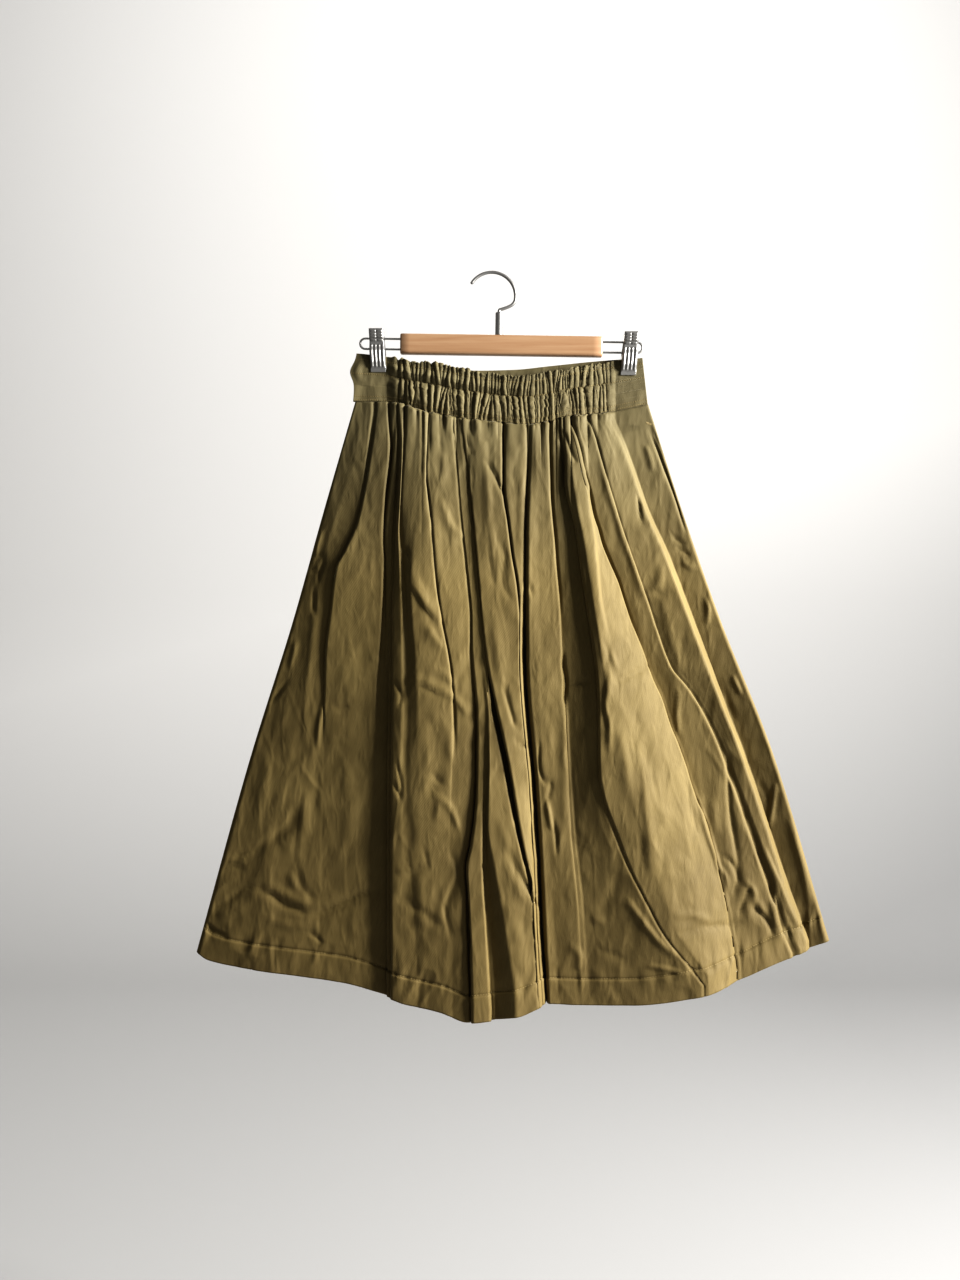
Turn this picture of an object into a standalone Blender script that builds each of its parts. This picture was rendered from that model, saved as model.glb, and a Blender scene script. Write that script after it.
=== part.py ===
"""Culottes with a gathered waistband, hung from a wooden clip hanger.

The origin is where the hook's inner curve hangs. X runs to the right as the front is seen, Y runs
away from the viewer, and Z is up. The tables are in millimetres: x across, depth down from the
origin, and out, the height of the cloth off the side-seam plane (towards the viewer on the front,
towards the wall on the back). Run it in Blender 4.5.
"""

import math
from collections import namedtuple

import bmesh
import bpy
import numpy as np
from mathutils import Matrix

MM = 0.001

# Cloth
CLOTH_WALL = 1.5
BAND_WALL = 2.4
SEAM_GAP = 0.3
WAIST_GAP = 0.5
ROWS = 18

# A panel's columns of sizes are given at these shares of the way from waist seam to hem.
STATIONS = (0.0, 0.2, 0.4, 0.65, 1.0)
CROTCH = 0.42

# A fold is a groove between two lips: where it runs, how far out each lip stands, how far the
# groove dips below them, and how wide it is from lip to lip. Its floor is a share of that width,
# and is raised by a share of the dip.
Fold = namedtuple("Fold", "name x left right dip gap")
FLOOR_HALF_WIDTH = 0.3
FLOOR_RISE = 0.12

# A panel between two folds bows out by a share of its width, up to a most.
PANEL_CROWN = 0.06
MOST_CROWN = 5.0
LEAST_STEP = 1.0

FRONT_LEFT_FOLDS = (
    Fold("side_crease",
         x=(-152, -186, -209, -222, -240), left=(2, 9, 15, 24, 30), right=(2, 10, 16, 25, 31),
         dip=(1, 3, 3, 3, 2), gap=(6, 8, 10, 12, 14)),
    Fold("short_groove",
         x=(-138, -167, -190, -178, -184), left=(4, 14, 22, 36, 40), right=(4, 18, 27, 36, 40),
         dip=(2, 5, 9, 1, 2), gap=(6, 6, 7, 12, 16)),
    Fold("broad_valley",
         x=(-110, -121, -130, -134, -134), left=(6, 22, 38, 46, 49), right=(7, 26, 43, 51, 54),
         dip=(3.5, 14, 24, 26, 20), gap=(9, 9, 22, 30, 32)),
    Fold("valley_ridge",
         x=(-96, -103, -102, -101, -104), left=(7, 29, 47, 54, 57), right=(8, 29, 47, 54, 57),
         dip=(3, 3, 3, 3, 2), gap=(6, 8, 8, 10, 10)),
    Fold("upper_line",
         x=(-79, -72, -58, -60, -68), left=(8, 30, 48, 55, 58), right=(8, 33, 50, 55, 58),
         dip=(5, 9, 7, 2, 2), gap=(6, 6, 7, 10, 12)),
    Fold("pinch",
         x=(-62, -47, -34, -30, -33), left=(8, 33, 50, 54, 56), right=(8, 34, 51, 58, 62),
         dip=(1, 2, 4, 9, 13), gap=(5, 5, 6, 7, 8)),
    Fold("strip_edge",
         x=(-54, -40, -24, -14, 20), left=(9, 34, 51, 58, 60), right=(9, 34, 51, 55, 56),
         dip=(1, 1, 1, 4, 6), gap=(4, 4, 5, 7, 10)),
    Fold("long_groove",
         x=(-45, -32, -13, 11, 36), left=(8, 32, 48, 52, 50), right=(9, 37, 55, 58, 50),
         dip=(4.5, 20, 26, 20, 2), gap=(7, 7, 9, 8, 5)),
    Fold("merging_groove",
         x=(6, 13, 20, 31, 44), left=(9, 37, 48, 54, 52), right=(9, 35, 44, 50, 52),
         dip=(5, 9, 7, 3, 1), gap=(8, 6, 5, 4, 3)),
)

FRONT_RIGHT_FOLDS = (
    Fold("inner_valley",
         x=(49, 47, 48, 58, 71), left=(9, 36, 46, 51, 51), right=(9, 36, 46, 47, 46),
         dip=(1, 1, 1, 7, 14), gap=(4, 4, 5, 10, 12)),
    Fold("flat_pleat_edge",
         x=(58, 64, 73, 77, 90), left=(9, 37, 47, 47, 47), right=(6, 27, 42, 46, 47),
         dip=(3, 6, 3, 1, 1), gap=(5, 6, 8, 10, 10)),
    Fold("shaded_panel_edge",
         x=(77, 86, 101, 117, 222), left=(7, 26, 38, 41, 34), right=(9, 38, 54, 54, 37),
         dip=(4, 7, 8, 6, 3), gap=(6, 7, 8, 8, 14)),
    Fold("diagonal_groove",
         x=(94, 116, 160, 219, 277), left=(8, 28, 40, 40, 31), right=(8, 26, 37, 40, 31),
         dip=(4, 9, 11, 8, 2), gap=(6, 6, 7, 7, 10)),
    Fold("bright_edge",
         x=(107, 137, 181, 241, 302), left=(8, 27, 39, 35, 27), right=(8, 29, 42, 33, 26),
         dip=(3, 3, 3, 7, 3), gap=(5, 6, 6, 8, 10)),
    Fold("side_groove",
         x=(138, 188, 228, 285, 350), left=(6, 24, 27, 27, 19), right=(4, 13, 12, 10, 10),
         dip=(2.5, 9, 8, 6, 4), gap=(8, 12, 12, 11, 8)),
)

BACK_LEFT_FOLDS = (
    Fold("back_1", x=(-128, -152, -178, -212, -262), left=(4, 9, 13, 16, 16), right=(4, 10, 15, 18, 19),
         dip=(2, 5, 7, 9, 10), gap=(10, 12, 16, 22, 28)),
    Fold("back_2", x=(-92, -106, -124, -148, -186), left=(4, 12, 18, 22, 23), right=(4, 13, 20, 24, 25),
         dip=(3, 7, 9, 11, 12), gap=(9, 11, 14, 20, 26)),
    Fold("back_3", x=(-56, -60, -66, -80, -112), left=(5, 14, 21, 25, 26), right=(5, 14, 21, 25, 27),
         dip=(2, 6, 9, 10, 12), gap=(9, 12, 14, 18, 24)),
    Fold("back_4", x=(-20, -18, -18, -20, -38), left=(5, 14, 21, 25, 26), right=(5, 13, 20, 24, 25),
         dip=(3, 7, 9, 10, 11), gap=(9, 11, 14, 17, 22)),
)

BACK_RIGHT_FOLDS = (
    Fold("back_5", x=(76, 80, 90, 104, 126), left=(5, 13, 20, 24, 25), right=(5, 14, 21, 25, 26),
         dip=(3, 7, 9, 10, 11), gap=(9, 11, 14, 18, 24)),
    Fold("back_6", x=(108, 124, 144, 172, 206), left=(4, 13, 19, 23, 24), right=(4, 12, 18, 22, 23),
         dip=(2, 6, 8, 10, 12), gap=(9, 12, 15, 20, 26)),
    Fold("back_7", x=(140, 166, 194, 236, 290), left=(4, 10, 15, 18, 19), right=(4, 9, 13, 15, 16),
         dip=(2, 5, 7, 9, 10), gap=(10, 12, 16, 22, 28)),
)

# The outline from the front: side edges, and the groove where the two legs meet.
SIDE_LEFT = (-162, -198, -233, -282, -343)
SIDE_RIGHT = (173, 211, 252, 311, 376)
CENTRE = (38, 32, 31, 43, 55)
CENTRE_GAP = (7, 7, 8, 8, 7)
LEG_PARTING = (0, 0, 0, 1.5, 3)
CENTRE_LIP_DROP = 0.35

# How far out the cloth stands at the side seams, and beside the centre groove.
SIDE_OUT_LEFT = (0.8, 3, 5, 6, 6)
SIDE_OUT_RIGHT = (0.8, 7, 16, 22, 18)
SIDE_ROUND = (1.0, 3, 5, 6, 6)
FRONT_LIP_LEFT = (9, 36, 45, 52, 55)
FRONT_LIP_RIGHT = (9, 37, 46, 51, 51)
FRONT_SEAM_OUT = (5, 17, 7, 1, 1)
BACK_LIP = (5, 13, 19, 22, 23)
BACK_SEAM_OUT = (3.5, 8, -2, 0, 0)

# Edges, as (x, depth) from left to right.
BAND_TOP = ((-162, 92), (-130, 95), (-100, 101), (-65, 106), (-20, 115), (26, 120), (60, 115),
            (100, 107), (135, 101), (168, 97))
BACK_BAND_TOP = ((-162, 92), (-100, 101), (-20, 110.5), (20, 109.5), (60, 105.5), (110, 100.5), (168, 96.5))
WAIST_SEAM = ((-165, 147), (-120, 148), (-80, 159), (-30, 168), (40, 173.5), (80, 165), (125, 160),
              (175, 150))
FRONT_HEM = ((-343, 778), (-330, 786), (-280, 795), (-172, 808), (-134, 818), (-104, 828), (-64, 836),
             (-33, 846), (25, 838), (55, 828), (90, 829), (150, 828), (225, 817), (279, 800),
             (302, 790), (350, 772), (376, 762))
BACK_HEM = ((-343, 777), (-250, 792), (-120, 806), (40, 815), (160, 806), (280, 789), (376, 761))

# Waistband
GATHERS = 46
GATHER_LEFT = -128
GATHER_RIGHT = 136
GATHER_RELIEF = 2.6
GATHER_CREST = (0.33, 0.67)
GATHER_EASE = 6
CHANNEL_FULLNESS = 1.6
BAND_FLAT_LEFT = (0, 12, 24)
BAND_FLAT_RIGHT = (26, 13, 0)
BAND_LEFT_END = (-163, -165)
BAND_RIGHT_END = (167, 173)
BAND_CLIPPED_OUT = 1.35
BAND_BULGE = 9.0
BACK_BAND_BULGE = 4.0
BAND_ROWS = (  # share of the way down, how full the channel is, how strong the gathers are
    (0.0, -0.2, 0.9),
    (0.2, 0.9, 1.0),
    (0.42, -0.6, 0.8),
    (0.68, 1.0, 1.0),
    (1.0, -0.4, 0.5),
)

# Hanger
BAR_LENGTH, BAR_HEIGHT, BAR_THICK = 232, 23, 12
BAR_CENTRE = (5, 82.5)
BAR_TILT = 0.85
BAR_CHAMFER = 2.2
HOOK_WIRE = 3.8
HOOK_CENTRE, HOOK_RADIUS = (-6, 25.3), 27.3
HOOK_TIP, HOOK_HEEL = 146, -12
HOOK_STEPS = 18
NECK = ((17.4, 35.4), (11.5, 38.4), (6.4, 40.2))
NECK_FOOT = ((0.6, -2.4), (0, -0.6), (0, 0))  # from the top of the ferrule
LOOP_WIRE = 2.4
LOOP_PITCH = 12
LOOP_REACH = 46
FERRULE_RADIUS, FERRULE_HEIGHT = 4.2, 27
FERRULE_ALONG_BAR = -3
FERRULE_RIM = 0.5
CLIP_WIDTH, CLIP_THICK = 17.4, 1.2
# name, x of the middle at the top and the bottom, depth of the top
CLIPS = (("left", -138.5, -136.0, 64.5), ("right", 154.5, 150.5, 68.0))
# Side view of a jaw: distance from the cloth's middle plane, depth below the clip's top
JAW = ((9.2, 0), (8.2, 9), (5.2, 14.5), (5.2, 18.5), (7.6, 26), (7.0, 36), (4.6, 42), (3.5, 45.5), (3.5, 49))
PIVOT_BELOW = 16.5
SPRING_RADIUS, SPRING_LENGTH = 3.6, 11


def smooth_curve(points, values, at):
    """Smooth reading of a table that passes through its points without overshooting."""
    points = np.asarray(points, float)
    values = np.asarray(values, float)
    at = np.clip(np.asarray(at, float), points[0], points[-1])
    step = np.diff(points)
    slope = np.diff(values) / step
    tangent = np.empty_like(values)
    tangent[0], tangent[-1] = slope[0], slope[-1]
    for i in range(1, len(points) - 1):
        before, after = slope[i - 1], slope[i]
        same_way = before * after > 0
        tangent[i] = 2 * before * after / (before + after) if same_way else 0.0
    k = np.clip(np.searchsorted(points, at, side="right") - 1, 0, len(step) - 1)
    t = (at - points[k]) / step[k]
    rise = values[k + 1] - values[k]
    a = step[k] * tangent[k] - rise
    b = rise - step[k] * tangent[k + 1]
    return values[k] + t * rise + t * (1 - t) * (a * (1 - t) + b * t)


def down(column, v):
    """A column of a table, at share v of the way from waist seam to hem."""
    return float(smooth_curve(STATIONS, column, v))


def edge_depth(edge, x):
    return float(smooth_curve([p[0] for p in edge], [p[1] for p in edge], x))


def material(name, colour, roughness, metallic=0.0):
    mat = bpy.data.materials.new(name)
    mat.use_nodes = True
    shader = mat.node_tree.nodes["Principled BSDF"]
    shader.inputs["Base Color"].default_value = (*colour, 1)
    shader.inputs["Roughness"].default_value = roughness
    shader.inputs["Metallic"].default_value = metallic
    return mat


def add_object(name, mesh, mat, collection):
    obj = bpy.data.objects.new(name, mesh)
    mesh.materials.clear()
    mesh.materials.append(mat)
    collection.objects.link(obj)
    return obj


def grid_mesh(name, rows, flip):
    """An open surface through rows of points (x, out, depth), all of one length."""
    mesh = bpy.data.meshes.new(name)
    bm = bmesh.new()
    verts = [[bm.verts.new((x * MM, -out * MM, -depth * MM)) for x, out, depth in row] for row in rows]
    for upper, lower in zip(verts, verts[1:]):
        for i in range(len(upper) - 1):
            corners = [upper[i], lower[i], lower[i + 1], upper[i + 1]]
            bm.faces.new(corners[::-1] if flip else corners)
    bm.to_mesh(mesh)
    bm.free()
    mesh.shade_smooth()
    return mesh


def cloth(name, rows, wall, flip, mat, collection):
    """A cloth piece: an open surface given its wall by Solidify."""
    obj = add_object(name, grid_mesh(name, rows, flip), mat, collection)
    solidify = obj.modifiers.new("Wall", "SOLIDIFY")
    solidify.thickness = wall * MM
    solidify.offset = 0
    return obj


def between(a, b, shares, crown):
    """Points across the panel between two lips, raised by a share of its width."""
    width = abs(b[0] - a[0])
    lift = min(MOST_CROWN, crown * width)
    return [(a[0] + s * (b[0] - a[0]), a[1] + s * (b[1] - a[1]) + lift * 4 * s * (1 - s)) for s in shares]


def fold_points(fold, v):
    """Left lip, groove floor and right lip of a fold, as (x, out)."""
    x, gap, dip = down(fold.x, v), down(fold.gap, v), down(fold.dip, v)
    left, right = down(fold.left, v), down(fold.right, v)
    floor = (left + right) / 2 - (1 - FLOOR_RISE) * dip
    half_floor = FLOOR_HALF_WIDTH * gap
    return [(x - gap / 2, left), (x - half_floor, floor), (x + half_floor, floor), (x + gap / 2, right)]


def panel_section(folds, v, side_x, side_out, centre_x, centre_out, seam_out):
    """One level of a leg panel, from its side seam across its folds to the seam between the legs."""
    inward = 1 if centre_x > side_x else -1
    rounding = down(SIDE_ROUND, v)
    section = [(side_x, side_out), (side_x, side_out + 0.4 * rounding),
               (side_x + inward * 1.2 * rounding, side_out + 1.3 * rounding)]
    lips = [fold_points(f, v) for f in folds]
    if inward < 0:
        lips = [points[::-1] for points in lips[::-1]]
    for points in lips:
        section += between(section[-1], points[0], (1 / 3, 2 / 3), PANEL_CROWN)
        section += points
    lip = (centre_x - inward * down(CENTRE_GAP, v) / 2, centre_out)
    section += between(section[-1], lip, (0.5,), PANEL_CROWN)
    parting = (CLOTH_WALL + SEAM_GAP + down(LEG_PARTING, v)) / 2
    wall_x = centre_x - inward * parting
    turn = centre_out - CENTRE_LIP_DROP * (centre_out - seam_out)
    section += [lip, (wall_x, turn), (wall_x, seam_out)]
    return spread(section, inward)


def spread(section, inward):
    """Keep neighbouring points at least this far apart along x, apart from the centre wall."""
    xs = [inward * p[0] for p in section]
    last = len(xs) - 3
    for i in range(last - 1, 1, -1):
        xs[i] = min(xs[i], xs[i + 1] - LEAST_STEP)
    return [(inward * x, p[1]) for x, p in zip(xs, section)]


def panel_rows(folds, side, side_out, lip_out, seam_out, hem, sign):
    """Rows of a leg panel from the waist seam to the hem, as (x, out, depth)."""
    levels = [i / (ROWS - 1) for i in range(ROWS)]
    sections = []
    for v in levels:
        meet = down(seam_out, v)
        if v >= CROTCH:
            meet = SEAM_GAP / 2 + (down(FRONT_SEAM_OUT, v) if sign > 0 else -down(FRONT_SEAM_OUT, v))
        at_side = sign * down(side_out, v) + SEAM_GAP / 2
        sections.append(panel_section(folds, v, down(side, v), at_side, down(CENTRE, v),
                                      down(lip_out, v), meet))
    tops = [edge_depth(WAIST_SEAM, x) + WAIST_GAP / 2 for x, _ in sections[0]]
    hems = [edge_depth(hem, x) for x, _ in sections[-1]]
    return [
        [(x, sign * out, top + v * (low - top)) for (x, out), top, low in zip(section, tops, hems)]
        for v, section in zip(levels, sections)
    ]


def make_legs(mat, collection):
    front, back = 1, -1
    pieces = (
        ("leg_front_left", FRONT_LEFT_FOLDS, SIDE_LEFT, SIDE_OUT_LEFT, FRONT_LIP_LEFT, FRONT_SEAM_OUT,
         FRONT_HEM, front, False),
        ("leg_front_right", FRONT_RIGHT_FOLDS, SIDE_RIGHT, SIDE_OUT_RIGHT, FRONT_LIP_RIGHT,
         FRONT_SEAM_OUT, FRONT_HEM, front, True),
        ("leg_back_left", BACK_LEFT_FOLDS, SIDE_LEFT, SIDE_OUT_LEFT, BACK_LIP, BACK_SEAM_OUT,
         BACK_HEM, back, True),
        ("leg_back_right", BACK_RIGHT_FOLDS, SIDE_RIGHT, SIDE_OUT_RIGHT, BACK_LIP, BACK_SEAM_OUT,
         BACK_HEM, back, False),
    )
    for name, folds, side, side_out, lip, seam_out, hem, sign, flip in pieces:
        rows = panel_rows(folds, side, side_out, lip, seam_out, hem, sign)
        cloth(name, rows, CLOTH_WALL, flip, mat, collection)


def band_base(x, bulge):
    """How far out the band's middle stands: flat in the clips, fuller between them."""
    t = (x - (GATHER_LEFT + GATHER_RIGHT) / 2) / ((GATHER_RIGHT - GATHER_LEFT) / 2)
    full = max(0.0, 1 - abs(t) ** 3)
    return BAND_CLIPPED_OUT + (bulge - BAND_CLIPPED_OUT) * full


def gather_columns():
    """Positions along the gathered stretch (0 to 1) and the height of the cloth there."""
    widths = [1 + 0.28 * math.sin(2.4 * k) + 0.17 * math.sin(5.3 * k + 1) for k in range(GATHERS)]
    total = sum(widths)
    columns, at = [], 0.0
    for k, width in enumerate(widths):
        relief = 0.8 + 0.35 * math.sin(3.7 * k + 0.5)
        first, last = (at + share * width for share in GATHER_CREST)
        columns += [(at / total, -relief), (first / total, 0.9 * relief), (last / total, relief)]
        at += width
    columns.append((1.0, -0.6))
    return columns


def waistband_front_rows():
    columns = gather_columns()
    rows = []
    for share, full, strength in BAND_ROWS:
        left = BAND_LEFT_END[0] + share * (BAND_LEFT_END[1] - BAND_LEFT_END[0])
        right = BAND_RIGHT_END[0] + share * (BAND_RIGHT_END[1] - BAND_RIGHT_END[0])
        row = [(left + inset, BAND_CLIPPED_OUT) for inset in BAND_FLAT_LEFT]
        for at, relief in columns:
            x = GATHER_LEFT + at * (GATHER_RIGHT - GATHER_LEFT)
            ease = min(1.0, GATHER_EASE * at, GATHER_EASE * (1 - at))
            relief_out = CHANNEL_FULLNESS * full + strength * GATHER_RELIEF * relief
            out = band_base(x, BAND_BULGE) + ease * relief_out
            row.append((x, max(out, BAND_CLIPPED_OUT)))
        row += [(right - inset, BAND_CLIPPED_OUT) for inset in BAND_FLAT_RIGHT]
        rows.append([(x, out, band_depth(x, share, BAND_TOP)) for x, out in row])
    return rows


def band_depth(x, share, top_edge):
    top, seam = edge_depth(top_edge, x), edge_depth(WAIST_SEAM, x) - WAIST_GAP / 2
    return top + share * (seam - top)


def waistband_back_rows(columns=19):
    rows = []
    for share in (0.0, 0.5, 1.0):
        left = BAND_LEFT_END[0] + share * (BAND_LEFT_END[1] - BAND_LEFT_END[0])
        right = BAND_RIGHT_END[0] + share * (BAND_RIGHT_END[1] - BAND_RIGHT_END[0])
        xs = [left + (right - left) * i / (columns - 1) for i in range(columns)]
        rows.append([(x, -band_base(x, BACK_BAND_BULGE), band_depth(x, share, BACK_BAND_TOP)) for x in xs])
    return rows


def wire(name, points, diameter, mat, collection):
    """A round wire along points (x, out, depth) in millimetres."""
    curve = bpy.data.curves.new(name, "CURVE")
    curve.dimensions = "3D"
    curve.bevel_depth = diameter / 2 * MM
    curve.bevel_resolution = 2
    curve.use_fill_caps = True
    spline = curve.splines.new("POLY")
    spline.points.add(len(points) - 1)
    for point, (x, out, depth) in zip(spline.points, points):
        point.co = (x * MM, -out * MM, -depth * MM, 1)
    obj = bpy.data.objects.new(name, curve)
    curve.materials.append(mat)
    collection.objects.link(obj)
    return obj


def arc(centre, radius, start, end, steps):
    """Points (x, depth) on an arc, angles in degrees from +X towards up."""
    angles = [math.radians(start + (end - start) * i / steps) for i in range(steps + 1)]
    return [(centre[0] + radius * math.cos(a), centre[1] - radius * math.sin(a)) for a in angles]


def bar_frame(along, below):
    """A point of the tilted bar, from its own middle, as (x, depth)."""
    tilt = math.radians(BAR_TILT)
    return (BAR_CENTRE[0] + along * math.cos(tilt) - below * math.sin(tilt),
            BAR_CENTRE[1] + along * math.sin(tilt) + below * math.cos(tilt))


def make_bar(mat, collection):
    bpy.ops.mesh.primitive_cube_add(size=1)
    bar = bpy.context.object
    bar.name = "hanger_bar"
    bar.data.transform(Matrix.Diagonal((BAR_LENGTH * MM, BAR_THICK * MM, BAR_HEIGHT * MM, 1)))
    bar.location = (BAR_CENTRE[0] * MM, 0, -BAR_CENTRE[1] * MM)
    bar.rotation_euler = (0, math.radians(BAR_TILT), 0)
    bevel = bar.modifiers.new("Eased edges", "BEVEL")
    bevel.width = BAR_CHAMFER * MM
    bevel.segments = 2
    move_to(bar, collection, mat)


def move_to(obj, collection, mat):
    for owner in list(obj.users_collection):
        owner.objects.unlink(obj)
    collection.objects.link(obj)
    obj.data.materials.clear()
    obj.data.materials.append(mat)


def make_hook(mat, collection):
    """The hook: an open ring that hangs at the origin, and a neck that comes down to the ferrule."""
    ring = arc(HOOK_CENTRE, HOOK_RADIUS, HOOK_TIP, HOOK_HEEL, HOOK_STEPS)
    foot_x, foot_depth = bar_frame(FERRULE_ALONG_BAR, -BAR_HEIGHT / 2 - FERRULE_HEIGHT - SEAM_GAP)
    foot = [(foot_x + across, foot_depth + below) for across, below in NECK_FOOT]
    points = ring + list(NECK) + foot
    wire("hook", [(x, 0, depth) for x, depth in points], HOOK_WIRE, mat, collection)


def make_ferrule(mat, collection):
    middle = (BAR_HEIGHT + FERRULE_HEIGHT + SEAM_GAP) / 2
    x, depth = bar_frame(FERRULE_ALONG_BAR, -middle)
    bpy.ops.mesh.primitive_cylinder_add(vertices=20, radius=FERRULE_RADIUS * MM,
                                        depth=(FERRULE_HEIGHT - SEAM_GAP) * MM)
    ferrule = bpy.context.object
    ferrule.name = "hook_ferrule"
    ferrule.location = (x * MM, 0, -depth * MM)
    ferrule.rotation_euler = (0, math.radians(BAR_TILT), 0)
    bevel = ferrule.modifiers.new("Eased rims", "BEVEL")
    bevel.width = FERRULE_RIM * MM
    bevel.segments = 1
    ferrule.data.shade_smooth()
    move_to(ferrule, collection, mat)


def make_loop(name, side, mat, collection):
    """A long wire loop that leaves one end of the bar and carries a clip."""
    end = side * (BAR_LENGTH / 2 + SEAM_GAP)
    radius = LOOP_PITCH / 2
    turn = end + side * (LOOP_REACH - radius)
    points = [(end, -radius)]
    for i in range(9):
        angle = math.pi * i / 8
        points.append((turn + side * radius * math.sin(angle), -radius * math.cos(angle)))
    points.append((end, radius))
    flat = [bar_frame(along, below) for along, below in points]
    wire(name, [(x, 0, depth) for x, depth in flat], LOOP_WIRE, mat, collection)


def make_jaw(name, clip, side, mat, collection):
    """One pressed-steel jaw of a clip: its bent side view carried across its width."""
    _, top_x, bottom_x, top_depth = clip
    length = JAW[-1][1]
    rows = []
    for out, below in JAW:
        middle = top_x + (bottom_x - top_x) * below / length
        half = CLIP_WIDTH / 2
        rows.append([(middle + s * half, side * out, top_depth + below) for s in (-1, -0.5, 0, 0.5, 1)])
    cloth(name, rows, CLIP_THICK, side < 0, mat, collection)


def make_spring(name, clip, mat, collection):
    """The spring drum on the jaws' pivot, between the loop's two wires."""
    _, top_x, bottom_x, top_depth = clip
    x = top_x + (bottom_x - top_x) * PIVOT_BELOW / JAW[-1][1]
    bpy.ops.mesh.primitive_cylinder_add(vertices=16, radius=SPRING_RADIUS * MM, depth=SPRING_LENGTH * MM)
    drum = bpy.context.object
    drum.name = name
    drum.rotation_euler = (0, math.pi / 2, 0)
    drum.location = (x * MM, 0, -(top_depth + PIVOT_BELOW) * MM)
    drum.data.shade_smooth()
    move_to(drum, collection, mat)


def main():
    for obj in list(bpy.data.objects):
        bpy.data.objects.remove(obj)
    garment = bpy.data.collections.new("culottes_on_hanger")
    bpy.context.scene.collection.children.link(garment)

    drill = material("olive_drill", (0.20, 0.165, 0.075), 0.85)
    beech = material("beech", (0.62, 0.36, 0.17), 0.45)
    steel = material("bright_steel", (0.75, 0.74, 0.72), 0.25, 1.0)

    make_legs(drill, garment)
    cloth("waistband_front", waistband_front_rows(), BAND_WALL, False, drill, garment)
    cloth("waistband_back", waistband_back_rows(), BAND_WALL, True, drill, garment)

    make_bar(beech, garment)
    make_hook(steel, garment)
    make_ferrule(steel, garment)
    for side, label in ((-1, "left"), (1, "right")):
        make_loop(f"clip_rail_{label}", side, steel, garment)
    for clip in CLIPS:
        make_jaw(f"clip_jaw_front_{clip[0]}", clip, 1, steel, garment)
        make_jaw(f"clip_jaw_back_{clip[0]}", clip, -1, steel, garment)
        make_spring(f"clip_spring_{clip[0]}", clip, steel, garment)


main()
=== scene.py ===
"""The looks of the culottes and of the clip hanger that carries them.

The tables follow the construction's, some of them finer, in millimetres: x across, depth down
from the point where the hook hangs, and out, the height of the cloth off the side-seam plane (towards
the viewer on the front, towards the back on the back).
"""

import math
from collections import namedtuple

import bmesh
import bpy
import numpy as np
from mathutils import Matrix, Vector


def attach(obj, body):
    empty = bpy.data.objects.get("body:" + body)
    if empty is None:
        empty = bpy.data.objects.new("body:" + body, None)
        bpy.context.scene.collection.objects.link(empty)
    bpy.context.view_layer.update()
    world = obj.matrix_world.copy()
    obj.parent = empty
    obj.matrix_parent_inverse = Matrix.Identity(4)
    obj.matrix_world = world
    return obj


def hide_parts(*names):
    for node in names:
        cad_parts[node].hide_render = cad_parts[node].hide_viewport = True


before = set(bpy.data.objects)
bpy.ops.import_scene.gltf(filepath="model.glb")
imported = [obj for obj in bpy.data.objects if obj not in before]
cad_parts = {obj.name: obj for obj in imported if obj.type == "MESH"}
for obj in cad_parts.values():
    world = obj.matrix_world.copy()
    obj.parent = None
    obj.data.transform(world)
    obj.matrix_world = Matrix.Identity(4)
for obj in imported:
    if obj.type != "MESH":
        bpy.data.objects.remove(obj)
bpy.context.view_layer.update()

MM = 0.001

# ---------------------------------------------------------------------------------------- sizes

CLOTH_WALL = 1.5
BAND_WALL = 1.6
SEAM_GAP = 0.3
WAIST_GAP = 0.5

# A column of five sizes is read at these shares of the way from waist seam to hem, and one of
# seven sizes at the closer ones.
STATIONS = {5: (0.0, 0.2, 0.4, 0.65, 1.0), 7: (0.0, 0.1, 0.25, 0.42, 0.6, 0.8, 1.0)}
CROTCH = 0.42
HEM_SHARE = 0.9555
# Where the closer rows of a leg's grid end and start again, and what share of all rows they are.
FINE_TOP_END, FINE_HEM_START = 0.09, 0.93
TOP_ROWS, ABOVE_HEM_ROWS, HEM_ROWS = 0.13, 0.055, 0.1

# Lines run down a panel. On the front their paths are (x, depth) as the photograph's viewpoint sees
# them on the side-seam plane, and on the back as they are. A fold is a groove between two lips: how
# far out each lip stands, how far the groove dips below them, and how wide it is from lip to lip. A
# bend is one line over which the cloth turns, within soft of it. The crown is how far the cloth
# right of a line swells or sags on the way to the next, as a share of that width.
Fold = namedtuple("Fold", "name path left right dip gap crown")
Bend = namedtuple("Bend", "name path out soft crown")
# A crease's widths are those left and right of its path, as one goes along it, and its rise is
# negative for a trough.
Crease = namedtuple("Crease", "path left right rise")
FLOOR_HALF_WIDTH = 0.3
FLOOR_RISE = 0.12
LIP_SOFT = 1.8
END_SOFT = 2.5
LEAST_STEP = 0.5
CREASE_RISE = 1.3

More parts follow.
